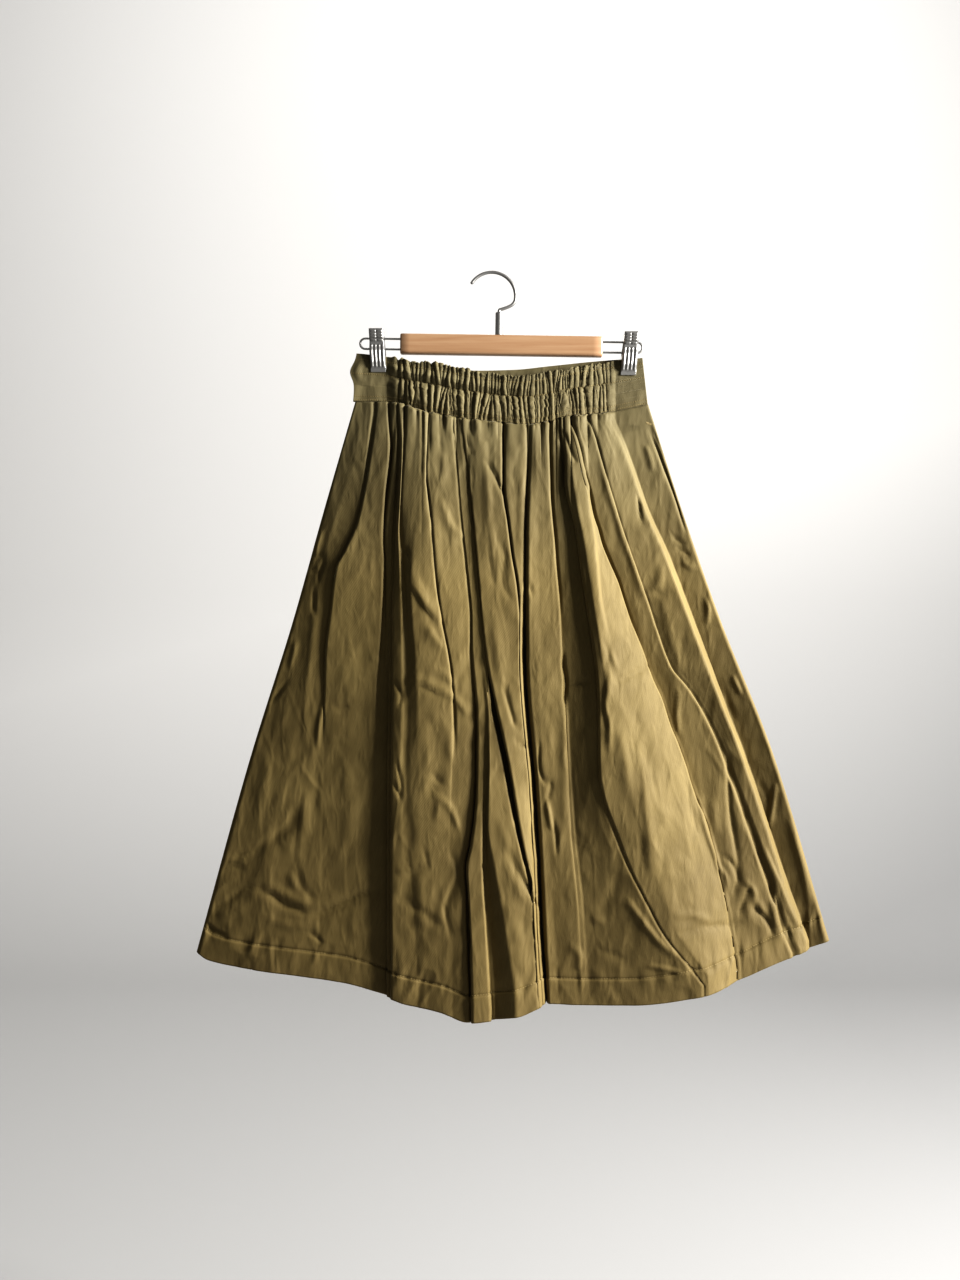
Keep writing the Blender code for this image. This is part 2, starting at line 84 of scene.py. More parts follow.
FRONT_LEFT_LINES = (
    Bend("side_roll",
         path=((-155, 168), (-167, 225), (-183, 274), (-197, 324), (-206, 375), (-216, 447), (-230, 513),
               (-250, 605), (-266, 685), (-277, 777)),
         out=(2, 6.7, 9.8, 14, 16.4, 17, 18.5), soft=6, crown=0),
    Fold("short_step",
         path=((-141, 159), (-148, 214), (-161, 283), (-176, 319), (-186, 338), (-192, 386), (-198, 435),
               (-199, 470), (-200, 520), (-201, 600), (-203, 690), (-208, 789)),
         left=(4, 8.5, 14, 15.5, 20.2, 22, 24), right=(4, 10, 17, 19, 20.4, 22, 24),
         dip=(1.5, 2, 2.5, 2.5, 0, 0, 0), gap=(6, 5, 4, 3.5, 3, 3, 3), crown=0.01),
    Fold("dark_groove",
         path=((-124, 159), (-122, 202), (-128, 260), (-130, 306), (-129, 329), (-130, 398), (-135, 490),
               (-136, 605), (-136, 720), (-136, 806)),
         left=(5, 12, 20, 25, 26.5, 27.5, 29), right=(5, 12, 19.5, 24, 26.5, 27.5, 29),
         dip=(3, 5, 5, 2, 0, 0, 0), gap=(5, 4, 4, 8, 10, 10, 10), crown=0),
    Fold("big_step",
         path=((-114, 156), (-113, 193), (-115, 241), (-118, 290), (-120, 351), (-122, 386), (-122, 435),
               (-122, 508), (-123, 605), (-123, 720), (-123, 812)),
         left=(6, 13, 20.5, 24.5, 26, 27.5, 29), right=(7, 15, 23, 32.5, 37, 39, 40),
         dip=(2, 3, 3, 1, 0, 0, 0), gap=(5, 5, 6, 5, 5, 5, 6), crown=0.02),
    Fold("strip_groove",
         path=((-106, 155), (-109, 210), (-112, 262), (-109, 329), (-106, 385), (-105, 447), (-105, 504),
               (-107, 570), (-106, 639), (-100, 720), (-94, 818)),
         left=(7, 17, 27, 36, 39.5, 41, 42), right=(8, 17, 27, 36, 39.5, 41, 42),
         dip=(2, 2, 2, 1, 0.5, 0, 0), gap=(5, 5, 6, 8, 8, 8, 8), crown=0.02),
    Bend("upper_ridge",
         path=((-84, 156), (-84, 193), (-85, 237), (-87, 269), (-93, 294), (-97, 327), (-99, 352),
               (-97, 398), (-93, 447), (-92, 504), (-90, 570), (-84, 639), (-79, 812)),
         out=(8, 20, 31.5, 40, 42.5, 43.5, 44), soft=6, crown=0.02),
    Fold("upper_line",
         path=((-80, 160), (-81, 193), (-82, 224), (-79, 254), (-75, 290), (-72, 334), (-68, 368),
               (-63, 401), (-57, 432), (-52, 467), (-49, 524), (-52, 639), (-54, 823)),
         left=(8, 20, 31.5, 40, 43.5, 45.5, 47), right=(8, 20, 31.5, 39.5, 43, 45.5, 47),
         dip=(4, 5, 4, 3, 0.3, 0, 0), gap=(4, 3.2, 3, 3, 6, 6, 6), crown=0.02),
    Fold("pinch",
         path=((-51, 177), (-46, 225), (-43, 266), (-39, 306), (-34, 352), (-30, 399), (-30, 430),
               (-27, 471), (-24, 508), (-24, 559), (-25, 604), (-31, 657), (-36, 684), (-34, 731),
               (-32, 777), (-30, 841)),
         left=(8, 19, 30, 38, 42, 46, 49), right=(8, 19, 30.5, 39.5, 46, 51, 53),
         dip=(0.5, 0.5, 1, 2, 6, 9, 8), gap=(4, 4, 4, 4, 4, 4.5, 5), crown=0),
    Fold("strip_edge",
         path=((-47, 178), (-43, 225), (-39, 266), (-34, 306), (-30, 352), (-25, 399), (-22, 438),
               (-17, 478), (-14, 513), (-13, 559), (-14, 605), (-15, 657), (-14, 697), (-10, 754),
               (-5, 844)),
         left=(8, 19, 30.5, 39.5, 46, 51, 52), right=(8, 19, 30.5, 39.5, 45.5, 46, 46),
         dip=(0, 0, 0, 0, 0.5, 3, 3), gap=(3, 3, 3, 3, 5, 6, 7), crown=0),
    Bend("pleat_crest",
         path=((-42, 178), (-36, 225), (-32, 266), (-28, 306), (-24, 352), (-20, 400), (-16, 438), (-12, 478),
               (-9, 513), (-12, 575), (-14, 615), (-2, 692), (10, 756), (22, 832)),
         out=(8, 19, 30.5, 40, 49, 53, 56), soft=2, crown=0),
    Fold("long_groove",
         path=((-44, 178), (-40, 221), (-36, 260), (-33, 297), (-29, 332), (-24, 369), (-20, 411),
               (-14, 453), (-7, 490), (-2, 515), (4, 542), (11, 576), (18, 616), (25, 651), (33, 685),
               (43, 720), (48, 754), (51, 839)),
         left=(8, 19, 30.5, 40, 47, 51, 51), right=(9, 20.5, 33, 42, 50, 52, 51),
         dip=(4, 8, 10, 18, 20, 6, 1), gap=(4, 4, 4, 6, 8, 5, 4), crown=0.0),
    Fold("joining_groove",
         path=((6, 177), (7, 214), (7, 241), (13, 289), (18, 329), (23, 358), (26, 386), (29, 421),
               (31, 455), (36, 524), (43, 605), (47, 674), (52, 743), (54, 839)),
         left=(9, 23, 34, 42, 45, 44, 42), right=(9, 22.5, 34, 42, 45, 43.5, 41.5),
         dip=(6, 8, 7, 5, 3, 1.5, 1), gap=(5, 4, 3.5, 3.5, 3, 3, 3), crown=0),
)

FRONT_RIGHT_LINES = (
    Bend("inner_valley",
         path=((44, 179), (46, 260), (47, 375), (49, 490), (53, 582), (60, 662), (64, 720), (68, 777),
               (71, 838)),
         out=(9, 22, 33, 41, 43.5, 42, 39), soft=4, crown=0),
    Fold("flat_pleat_edge",
         path=((60, 179), (62, 225), (63, 254), (67, 302), (70, 338), (74, 386), (77, 447), (79, 490),
               (82, 559), (87, 639), (95, 720), (102, 838)),
         left=(9, 21.5, 32, 40, 43, 44, 41), right=(8, 19, 29, 37, 41, 43, 41),
         dip=(3, 4, 3, 1.5, 0.3, 0, 0), gap=(5, 4.5, 4, 4, 5, 7, 8), crown=0),
    Fold("shaded_edge",
         path=((72, 177), (76, 225), (79, 254), (89, 294), (95, 338), (102, 386), (108, 427), (113, 467),
               (115, 504), (115, 542), (116, 582), (122, 611), (133, 642), (148, 681), (169, 724),
               (192, 766), (222, 800), (238, 818)),
         left=(7, 18, 29, 42, 49, 53, 54), right=(9, 22, 36, 48, 53.5, 53.5, 53.5),
         dip=(2, 3, 3, 2.5, 2, 1, 0.5), gap=(5, 4.5, 4, 4.5, 5, 4, 4), crown=0),
    Bend("round_crest",
         path=((82, 177), (86, 225), (92, 266), (101, 312), (109, 363), (117, 415), (125, 467),
               (132, 504), (145, 566), (161, 616), (174, 657), (187, 703), (208, 760), (243, 806)),
         out=(9, 24, 38, 50, 54.5, 55, 53), soft=10, crown=0.05),
    Fold("diagonal_groove",
         path=((87, 172), (95, 202), (102, 235), (107, 254), (112, 278), (118, 297), (122, 312),
               (131, 334), (140, 355), (147, 377), (157, 406), (169, 435), (180, 467), (191, 491),
               (201, 522), (215, 559), (225, 591), (235, 619), (243, 638), (255, 685), (268, 743),
               (277, 800)),
         left=(8, 20, 28, 32, 34, 34, 34), right=(8, 16, 19, 20, 23, 31, 33),
         dip=(4, 6, 7, 7, 6, 1, 0), gap=(5, 5, 4.5, 4.5, 4.5, 5, 6), crown=0),
    Fold("thin_lip",
         path=((106, 168), (114, 191), (126, 237), (140, 286), (154, 329), (174, 385), (187, 427),
               (202, 468), (220, 490), (236, 515), (250, 542), (262, 570), (288, 639), (312, 703),
               (332, 760), (342, 780)),
         left=(8, 16, 20.5, 23, 26, 30, 29), right=(8, 15, 19.5, 22, 25, 28.5, 27.5),
         dip=(1, 1.5, 1, 0.8, 1.5, 3, 2), gap=(4, 3.5, 3, 3, 6, 10, 10), crown=0),
    Bend("outer_crest",
         path=((125, 169), (141, 196), (156, 234), (168, 271), (192, 329), (212, 385), (233, 444),
               (255, 504), (281, 570), (306, 642), (329, 706), (353, 767)),
         out=(5, 11, 19.5, 27, 29, 28, 25), soft=1.8, crown=0.1),
    Bend("outer_valley",
         path=((135, 166), (148, 198), (161, 235), (173, 272), (197, 329), (217, 385), (238, 444),
               (260, 504), (286, 570), (311, 642), (334, 706), (358, 766)),
         out=(2, 4, 9, 15, 17, 17.5, 17), soft=1.5, crown=0),
)

BACK_LEFT_LINES = (
    Fold("back_1", path=((-128, 148), (-150, 262), (-180, 409), (-210, 548), (-236, 668), (-262, 790)),
         left=(4, 9, 13, 16, 16), right=(4, 10, 15, 18, 19),
         dip=(1, 2.5, 5, 8, 10), gap=(10, 12, 14, 20, 28), crown=0.03),
    Fold("back_2", path=((-92, 156), (-104, 270), (-126, 412), (-146, 545), (-163, 680), (-186, 800)),
         left=(4, 12, 18, 22, 23), right=(4, 13, 20, 24, 25),
         dip=(3, 8, 10, 12, 12), gap=(7, 8, 11, 18, 26), crown=0.06),
    Fold("back_3", path=((-56, 163), (-61, 276), (-64, 420), (-82, 560), (-93, 690), (-112, 806)),
         left=(5, 14, 21, 25, 26), right=(5, 14, 21, 25, 27),
         dip=(1, 1.5, 3, 6, 10), gap=(8, 9, 11, 16, 24), crown=0.02),
    Fold("back_4", path=((-20, 170), (-17, 290), (-20, 430), (-19, 565), (-31, 700), (-38, 812)),
         left=(5, 14, 21, 25, 26), right=(5, 13, 20, 24, 25),
         dip=(3, 7, 9, 9, 7), gap=(6, 7, 9, 14, 22), crown=0.05),
)

BACK_RIGHT_LINES = (
    Fold("back_5", path=((76, 166), (81, 280), (88, 418), (106, 565), (112, 690), (126, 808)),
         left=(5, 13, 20, 24, 25), right=(5, 14, 21, 25, 26),
         dip=(2, 5, 8, 11, 12), gap=(7, 8, 12, 17, 24), crown=0.05),
    Fold("back_6", path=((108, 162), (122, 275), (146, 418), (170, 560), (190, 685), (206, 800)),
         left=(4, 13, 19, 23, 24), right=(4, 12, 18, 22, 23),
         dip=(2, 6, 6, 4, 4), gap=(7, 9, 11, 14, 20), crown=0.02),
    Fold("back_7", path=((140, 156), (165, 268), (192, 405), (238, 555), (262, 680), (290, 787)),
         left=(4, 10, 15, 18, 19), right=(4, 9, 13, 15, 16),
         dip=(1, 4, 8, 10, 10), gap=(8, 10, 13, 20, 28), crown=0.05),
)

FRONT_CREASES = [Crease(*row) for row in (
    (((-211, 323), (-196, 326)), 2, 2, -1.4),
    (((-216, 339), (-205, 345)), 2, 2, -1.4),
    (((-198, 328), (-204, 343), (-206, 355)), 2, 3, -1.6),
    (((-211, 363), (-210, 387), (-206, 393)), 2, 3, -1.4),
    (((-201, 294), (-206, 312), (-209, 329)), 3, 3, 1.2),
    (((-208, 375), (-214, 432), (-220, 490), (-223, 542)), 3, 5, 0.5),
    (((-198, 490), (-204, 519), (-206, 545)), 3, 2.2, 1.2),
    (((-189, 497), (-179, 499), (-170, 497)), 2.5, 2, -1.2),
    (((-239, 467), (-248, 478), (-261, 493)), 3, 2.5, -1.1),
    (((-230, 421), (-237, 453)), 3, 3, 0.9),
    (((-220, 595), (-225, 639), (-229, 677)), 1.8, 6, 0.9),
    (((-275, 707), (-258, 714), (-245, 724), (-225, 731), (-215, 737)), 4, 2.2, -2.0),
    (((-215, 737), (-195, 731), (-175, 722), (-158, 714), (-143, 709)), 4, 2.2, -2.0),
    (((-263, 702), (-245, 711), (-227, 721), (-206, 723), (-181, 712)), 4, 3, 1.2),
    (((-230, 684), (-225, 702), (-210, 722)), 3, 4, -1.1),
    (((-238, 688), (-231, 708)), 3, 3, 1.0),
    (((-310, 669), (-290, 667), (-265, 654), (-240, 635), (-230, 610)), 7, 5, -1.6),
    (((-307, 674), (-295, 674), (-280, 664)), 2.5, 2.5, 1.3),
    (((-327, 729), (-310, 722), (-290, 707), (-267, 704)), 3, 3, -1.4),
    (((-330, 712), (-314, 702), (-296, 692)), 3, 3, 1.2),
    (((-337, 742), (-327, 754), (-310, 761)), 3, 2.2, -1.7),
    (((-316, 688), (-305, 681), (-289, 684)), 3, 3, -1.1),
    (((-321, 736), (-305, 734), (-284, 723)), 3, 3, 1.1),
    (((-217, 754), (-200, 769)), 3, 2.5, -1.2),
    (((-270, 738), (-238, 749), (-204, 749)), 4, 4, 0.9),
    (((-175, 559), (-168, 605), (-172, 662)), 8, 8, 0.8),
    (((-261, 536), (-270, 593), (-277, 639)), 8, 7, 0.9),
    (((-204, 559), (-210, 616)), 7, 7, -0.8),
    (((-145, 439), (-131, 447)), 2.2, 2.2, 1.0),
    (((-115, 159), (-121, 204), (-125, 247), (-128, 277)), 2, 2, -1.2),
    (((-120, 467), (-110, 484), (-112, 496)), 2.2, 2.2, -1.3),
    (((-115, 562), (-110, 590), (-112, 603)), 2, 2, -1.2),
    (((-120, 584), (-110, 603)), 2, 2, -1.1),
    (((-113, 605), (-118, 639), (-121, 669)), 2, 2, 0.5),
    (((-108, 314), (-101, 324)), 2.2, 2.2, -1.3),
    (((-100, 353), (-86, 375), (-66, 401)), 2, 9, 1.9),
    (((-82, 401), (-67, 423), (-59, 432)), 7, 2, 1.3),
    (((-64, 259), (-52, 290), (-38, 301)), 6, 2.2, 1.5),
    (((-64, 205), (-61, 225), (-66, 246)), 3, 3, 1.0),
    (((-101, 462), (-79, 474), (-52, 486), (-33, 508)), 2.5, 5, 1.4),
    (((-92, 469), (-66, 483)), 2.5, 2.5, -1.2),
    (((-79, 453), (-59, 462), (-47, 478)), 2.5, 4, 1.1),
    (((-73, 597), (-53, 614), (-43, 639)), 4, 2.5, 1.4),
    (((-77, 573), (-61, 588)), 3, 3, -1.0),
    (((-66, 605), (-70, 628)), 3, 3, 0.9),
    (((-55, 664), (-45, 689), (-55, 714), (-60, 729), (-53, 764)), 2.5, 5, -1.5),
    (((-115, 687), (-95, 679), (-75, 674)), 4, 3, 1.2),
    (((-113, 714), (-85, 734), (-60, 754)), 5, 5, -1.3),
    (((-83, 664), (-78, 684)), 3, 3, -0.9),
    (((-74, 260), (-69, 329), (-61, 375)), 7, 7, 0.9),
    (((-77, 513), (-69, 559), (-75, 605)), 8, 9, -0.9),
    (((-57, 519), (-52, 559)), 5, 5, 0.9),
    (((-89, 685), (-84, 754)), 9, 9, 0.9),
    (((-21, 684), (-13, 679)), 2, 2, -1.0),
    (((-19, 171), (-14, 210), (-10, 247), (-8, 284), (-5, 329)), 7, 2.2, 1.5),
    (((-14, 213), (-3, 230), (7, 254)), 2.2, 2.2, -1.8),
    (((-7, 266), (-9, 314), (-5, 351), (0, 360)), 2.5, 2.5, -1.1),
    (((0, 300), (9, 324), (7, 356), (18, 377)), 2.5, 3, -1.3),
    (((15, 178), (25, 224), (30, 256)), 3, 2, 1.6),
    (((-3, 386), (1, 432), (6, 478)), 5, 6, 0.9),
    (((7, 471), (17, 508), (20, 518), (28, 521)), 2, 3, -1.5),
    (((20, 537), (35, 544)), 2, 2, -1.2),
    (((13, 662), (25, 688), (40, 713), (49, 729)), 2.2, 3, -1.8),
    (((9, 674), (21, 702), (36, 726)), 3, 2.5, 1.2),
    (((3, 628), (12, 662)), 5, 5, 0.9),
    (((9, 720), (23, 760), (28, 800)), 7, 6, 0.9),
    (((36, 355), (41, 370)), 2.2, 2.2, -1.1),
    (((49, 534), (49, 570), (55, 584), (62, 586), (55, 611)), 2.2, 2.2, -1.1),
    (((64, 626), (68, 647), (69, 669)), 2.2, 2.5, -1.2),
    (((57, 605), (63, 639)), 2.5, 2.5, 1.5),
    (((77, 435), (76, 447), (79, 469), (77, 496)), 2, 2.2, -2.2),
    (((76, 490), (78, 526), (78, 562), (78, 645)), 6, 4, 1.1),
    (((78, 182), (84, 202), (91, 218)), 2.2, 2.2, -1.4),
    (((76, 189), (77, 220), (76, 247)), 2, 2, -1.2),
    (((79, 474), (99, 470), (109, 467)), 2.5, 2.5, -0.8),
    (((92, 181), (101, 224), (103, 261), (109, 300), (114, 346), (118, 382), (125, 411)), 8, 2.4, 2.4),
    (((98, 191), (102, 214), (99, 231)), 3, 3, 1.2),
    (((111, 314), (116, 312)), 2.2, 2.2, 0.6),
    (((122, 421), (128, 438), (123, 453)), 3, 3, -0.8),
    (((129, 457), (127, 479), (125, 496), (129, 519), (128, 550)), 2.2, 4, 1.6),
    (((135, 469), (152, 462), (174, 450)), 3, 2.2, -1.7),
    (((131, 435), (137, 453)), 3, 3, 1.0),
    (((158, 545), (168, 570), (172, 615), (175, 645), (177, 697)), 5, 8, 1.5),
    (((139, 521), (148, 562), (151, 605)), 5, 5, 0.9),
    (((151, 478), (164, 530), (178, 593)), 8, 9, -0.9),
    (((193, 559), (201, 616), (199, 674)), 9, 9, -0.9),
    (((148, 717), (168, 744), (187, 768), (204, 783)), 4, 3, 1.6),
    (((139, 688), (132, 714), (118, 734)), 7, 7, -1.0),
    (((108, 742), (124, 744)), 4, 4, 0.9),
    (((202, 739), (221, 737), (243, 742)), 3, 3, 1.3),
    (((209, 761), (236, 751), (260, 749), (284, 745)), 3, 2.2, -1.7),
    (((172, 795), (190, 798), (215, 804)), 2.5, 2.5, 1.1),
    (((84, 772), (95, 783), (93, 800)), 4, 4, 1.0),
    (((118, 777), (147, 787)), 4, 4, -0.9),
    (((118, 215), (131, 256), (144, 299), (160, 343), (170, 375)), 4, 2.2, 1.0),
    (((162, 252), (164, 271), (166, 288)), 2.2, 2.2, -1.8),
    (((191, 336), (186, 355), (178, 366)), 4, 2.5, 1.1),
    (((176, 363), (190, 368), (201, 363)), 3, 3, -0.9),
    (((193, 375), (201, 421), (216, 458)), 6, 6, 0.9),
    (((210, 478), (207, 504), (209, 530)), 2.5, 3, 1.1),
    (((232, 601), (236, 628), (246, 659), (258, 691)), 2.2, 3, 1.6),
    (((218, 586), (226, 626), (231, 645)), 4, 3, -1.0),
    (((247, 605), (252, 645)), 6, 6, 0.9),
    (((254, 669), (267, 674), (277, 696), (272, 713)), 2.5, 2.5, -1.5),
    (((250, 681), (261, 689), (264, 708)), 2.5, 2.5, 1.2),
    (((265, 550), (267, 611), (275, 664), (279, 703)), 2.2, 4, -1.8),
    (((277, 737), (286, 717), (292, 703)), 2.5, 2.5, -1.6),
    (((284, 697), (296, 712), (293, 727)), 2.5, 2.5, 1.3),
    (((294, 727), (311, 744), (318, 761)), 3, 2.5, -1.8),
    (((321, 700), (318, 732), (321, 751)), 3, 3, 1.8),
    (((306, 659), (325, 703), (342, 742), (350, 751)), 4, 3, 1.6),
    (((299, 720), (308, 737)), 3, 3, 1.4),
    (((332, 749), (338, 764)), 3, 3, -1.3),
    (((174, 172), (186, 193), (196, 217), (208, 247), (220, 300)), 2.2, 3, -1.4),
    (((171, 197), (176, 212), (179, 227)), 3, 3, 1.2),
    (((175, 178), (189, 214), (204, 254), (217, 297)), 1.8, 1.8, -2.2),
    (((201, 302), (209, 307), (217, 312)), 2.5, 2.5, -1.2),
    (((206, 315), (215, 319), (223, 325)), 2.5, 2.5, -1.2),
    (((212, 330), (221, 336), (229, 336)), 2.5, 2.5, 1.2),
    (((240, 373), (243, 387), (241, 401)), 2.5, 2.5, 1.3),
    (((271, 462), (281, 484)), 3, 2.5, 1.3),
    (((261, 478), (274, 515)), 4, 4, -1.0),
    (((321, 586), (316, 618), (313, 635)), 2.5, 2.5, 1.7),
    (((335, 626), (352, 683), (359, 726)), 4, 4, 1.3),
    (((300, 582), (314, 605)), 4, 4, -0.9),
)]

BACK_CREASES = [Crease(*row) for row in (
    (((-205, 318), (-196, 334), (-199, 352)), 2.5, 3, -1.4),
    (((-216, 402), (-212, 446), (-219, 498)), 3, 4, 1.1),
    (((-236, 560), (-228, 585), (-233, 622)), 2.5, 4, -1.3),
    (((-292, 700), (-268, 712), (-240, 709), (-214, 722)), 4, 2.5, -1.8),
    (((-278, 676), (-262, 668), (-249, 646)), 4, 4, 1.3),
    (((-318, 742), (-300, 736), (-286, 741)), 3, 3, -1.4),
    (((-150, 196), (-158, 238), (-161, 281)), 2.2, 2.5, -1.2),
    (((-139, 466), (-148, 508), (-146, 552), (-155, 598)), 5, 3, 1.4),
    (((-124, 622), (-141, 655), (-149, 698)), 3, 5, -1.5),
    (((-178, 741), (-152, 752), (-121, 746)), 4, 3, 1.3),
    (((-80, 214), (-88, 262), (-86, 318)), 5, 2.5, 1.5),
    (((-96, 420), (-90, 455), (-98, 497)), 3, 4, -1.2),
    (((-64, 536), (-70, 570), (-62, 611), (-71, 640)), 2.5, 5, 1.5),
    (((-104, 700), (-84, 716), (-70, 742), (-75, 776)), 3, 5, -1.5),
    (((-38, 204), (-30, 246), (-34, 290), (-27, 330)), 2.2, 6, 1.4),
    (((-2, 262), (6, 301), (3, 344)), 3, 3, -1.3),
    (((-4, 468), (5, 502), (1, 541)), 3, 5, 1.2),
    (((12, 640), (-2, 668), (4, 702), (-6, 738)), 3, 4, -1.6),
    (((-20, 752), (2, 764), (24, 758)), 4, 3, 1.2),
    (((62, 230), (55, 274), (60, 322)), 5, 2.5, 1.4),
    (((70, 470), (82, 505), (76, 548), (88, 590)), 3, 5, 1.4),
    (((94, 640), (84, 671), (93, 706)), 3, 3, -1.4),
    (((72, 741), (94, 757), (121, 752), (139, 762)), 4, 3, -1.5),
    (((104, 200), (116, 243), (121, 290), (129, 332)), 2.4, 6, 1.6),
    (((132, 420), (128, 452), (139, 486)), 3, 3, -1.3),
    (((150, 520), (163, 560), (160, 606), (172, 645)), 6, 3, 1.5),
    (((188, 690), (170, 711), (174, 742)), 3, 4, -1.4),
    (((178, 768), (206, 757), (232, 760)), 4, 3, 1.3),
    (((163, 232), (178, 268), (186, 310)), 3, 4, -1.2),
    (((204, 392), (212, 431), (226, 462)), 4, 3, 1.3),
    (((236, 560), (229, 590), (241, 622)), 3, 3, -1.3),
    (((264, 640), (276, 676), (271, 708)), 3, 5, 1.6),
    (((292, 716), (312, 731), (322, 752)), 3, 3, -1.5),
    (((214, 700), (236, 712), (262, 708)), 5, 3, -1.3),
)]

# The side seams and the seam between the legs: where they run, how far out the cloth is there, and how
# far it turns in beside them.
SIDE_LEFT = (-162, -198, -233, -282, -343)
SIDE_RIGHT = (173, 211, 252, 311, 376)
CENTRE = (38, 32, 31, 43, 55)
CENTRE_GAP = (7, 7, 8, 8, 7)
LEG_PARTING = (0, 0, 0, 0.1, 0.2)
CENTRE_LIP_DROP = 0.35
SIDE_OUT_LEFT = (0.8, 3, 5, 6, 6)
SIDE_OUT_RIGHT = (0.8, 7, 16, 22, 18)
SIDE_ROUND_LEFT = (0.6, 1.2, 1.6, 2, 2)
SIDE_ROUND_RIGHT = (0.6, 1.0, 1.3, 1.6, 2)
FRONT_LIP_LEFT = (9, 30, 39, 41, 38)
FRONT_LIP_RIGHT = (9, 32, 40.5, 43, 40)
FRONT_SEAM_OUT = (5, 17, 7, 1, 1)
BACK_LIP = (5, 13, 19, 22, 23)
BACK_SEAM_OUT = (3.5, 8, -2, 0, 0)

# Edges, as (x, depth) from left to right.
BAND_TOP = ((-162, 92), (-130, 95), (-100, 101), (-65, 106), (-20, 115), (26, 120), (60, 115),
            (100, 107), (135, 101), (168, 97))
BACK_BAND_TOP = ((-162, 92), (-100, 101), (-20, 110.5), (20, 109.5), (60, 105.5), (110, 100.5), (168, 96.5))
WAIST_SEAM = ((-165, 147), (-120, 148), (-80, 159), (-30, 168), (40, 173.5), (80, 165), (125, 160),
              (175, 150))
FRONT_HEM = ((-343, 778), (-330, 786), (-280, 795), (-172, 808), (-134, 818), (-104, 828), (-64, 836),
             (-33, 846), (25, 838), (55, 828), (90, 829), (150, 828), (225, 817), (279, 800),
             (302, 790), (350, 772), (376, 762))
BACK_HEM = ((-343, 777), (-250, 792), (-120, 806), (40, 815), (160, 806), (280, 789), (376, 761))

# Waistband. A channel holds elastic between two shares of the way down.
GATHER_LEFT, GATHER_RIGHT = -126, 136
Channel = namedtuple("Channel", "top low gathers lean seed")
UPPER = Channel(0.0, 0.42, 58, 3.2, 4)
LOWER = Channel(0.42, 1.0, 49, 4.2, 9)
# The pleats that run down from the waist seam.
PLEATS = Channel(0.0, 1.0, 23, 0.0, 16)
# Smooth tents of cloth that open downwards between the lower channel's gathers, as (x, width).
TENTS = ((-109, 11), (-91, 16), (-34, 9), (14, 9), (77, 18), (112, 9))
GATHER_RELIEF = 1.35
LEAST_GATHER = 1.3
CHANNEL_FULLNESS = 1.9
# The band's two ends: how deep their soft folds are within the clips and below them.
END_FOLDS = (1.0, 2.2)
CLIPPED_SHARE = 0.48
BAND_END_BULGE = 6
BAND_LEFT_END = (-161, -165)
BAND_RIGHT_END = (167, 173)
BAND_CLIPPED_OUT = 1.35
BAND_BULGE = 9.0
BACK_BAND_BULGE = 4.0
RUFFLE_SHARE = 0.13
# Share of the way down, how full the band is there, how strong the gathers are.
BAND_SHARES = (0.0, 0.12, 0.26, 0.42, 0.6, 0.78, 1.0)
BAND_FULL = (0.0, -0.5, 0.9, -0.7, 0.6, 1.0, -0.5)
BAND_STRENGTH = (1.0, 0.9, 1.1, 0.8, 1.1, 1.0, 0.7)
SEAM_ARCS = 0.9
# How far what lies under the band's gathers stands out: its slanted creases and its left end's lobe.
SLANT_RELIEF, LOBE_RELIEF = 0.35, 1.8
# How far the pleats and the fine gathers stand out on the legs, just below the waist seam.
PLEAT_RELIEF, FINE_RELIEF = 2.0, 0.8

# The turned-up hem: its step, the groove of its stitching, and the puckers along it.
HEM_STEP, HEM_GROOVE, HEM_PUCKER = 0.9, 1.2, 1.2

# Rows of stitching: on the bands, as shares of the way down, and how far apart the stitches are.
FRONT_BAND_ROWS = (0.12, 0.42, 0.9, 0.97)
BACK_BAND_ROWS = (0.05, 0.9, 0.97)
BAND_STITCH_PITCH = 2.6
HEM_STITCH_PITCH = 3.2
STITCH_HALF_SHARE = 0.4
THREAD_RADIUS = 0.32
STITCH_SINK = 0.1
BARTACK_PITCH, BARTACK_HALF_WIDTH = 0.7, 1.4
POCKET_BARTACK = ((170, -13.2, -173), (176, -9.0, -174.5))

# Hanger
BAR_LENGTH, BAR_HEIGHT, BAR_THICK = 232, 23, 12
BAR_CENTRE = (5, 82.5)
BAR_TILT = 0.85
BAR_EASE, BAR_CHAMFER = 1.6, 3.4
# How the bar narrows at its ends, as (distance from the end, inset).
BAR_ENDS = ((0, 1.4), (0.5, 0.5), (1.4, 0))
HOOK_WIRE = 3.8
HOOK_CENTRE, HOOK_RADIUS = (-6, 25.3), 27.3
HOOK_TIP, HOOK_HEEL = 146, -12
NECK = ((17.4, 35.4), (11.5, 38.4), (6.4, 40.2))
NECK_FOOT = ((0.6, -2.4), (0, -0.6), (0, 0))
LOOP_WIRE = 2.4
LOOP_PITCH = 12
LOOP_REACH = 46
RAIL_ROOT = 2
FERRULE_HEIGHT = 27
# The ferrule's outline from its top, as (radius, below).
FERRULE_PROFILE = ((0, 0), (2.2, 0), (3.6, 0.2), (4.1, 0.8), (4.2, 1.6), (4.2, 24.2), (4.2, 26.2),
                   (4.1, 26.5), (0, 26.5))
FERRULE_SIDES = 40
FERRULE_ALONG_BAR = -3
CLIP_WIDTH, JAW_WALL = 17.4, 0.84
Clip = namedtuple("Clip", "label top_x bottom_x top_depth")
CLIPS = (Clip("left", -138.5, -136.0, 64.5), Clip("right", 154.5, 150.5, 68.0))
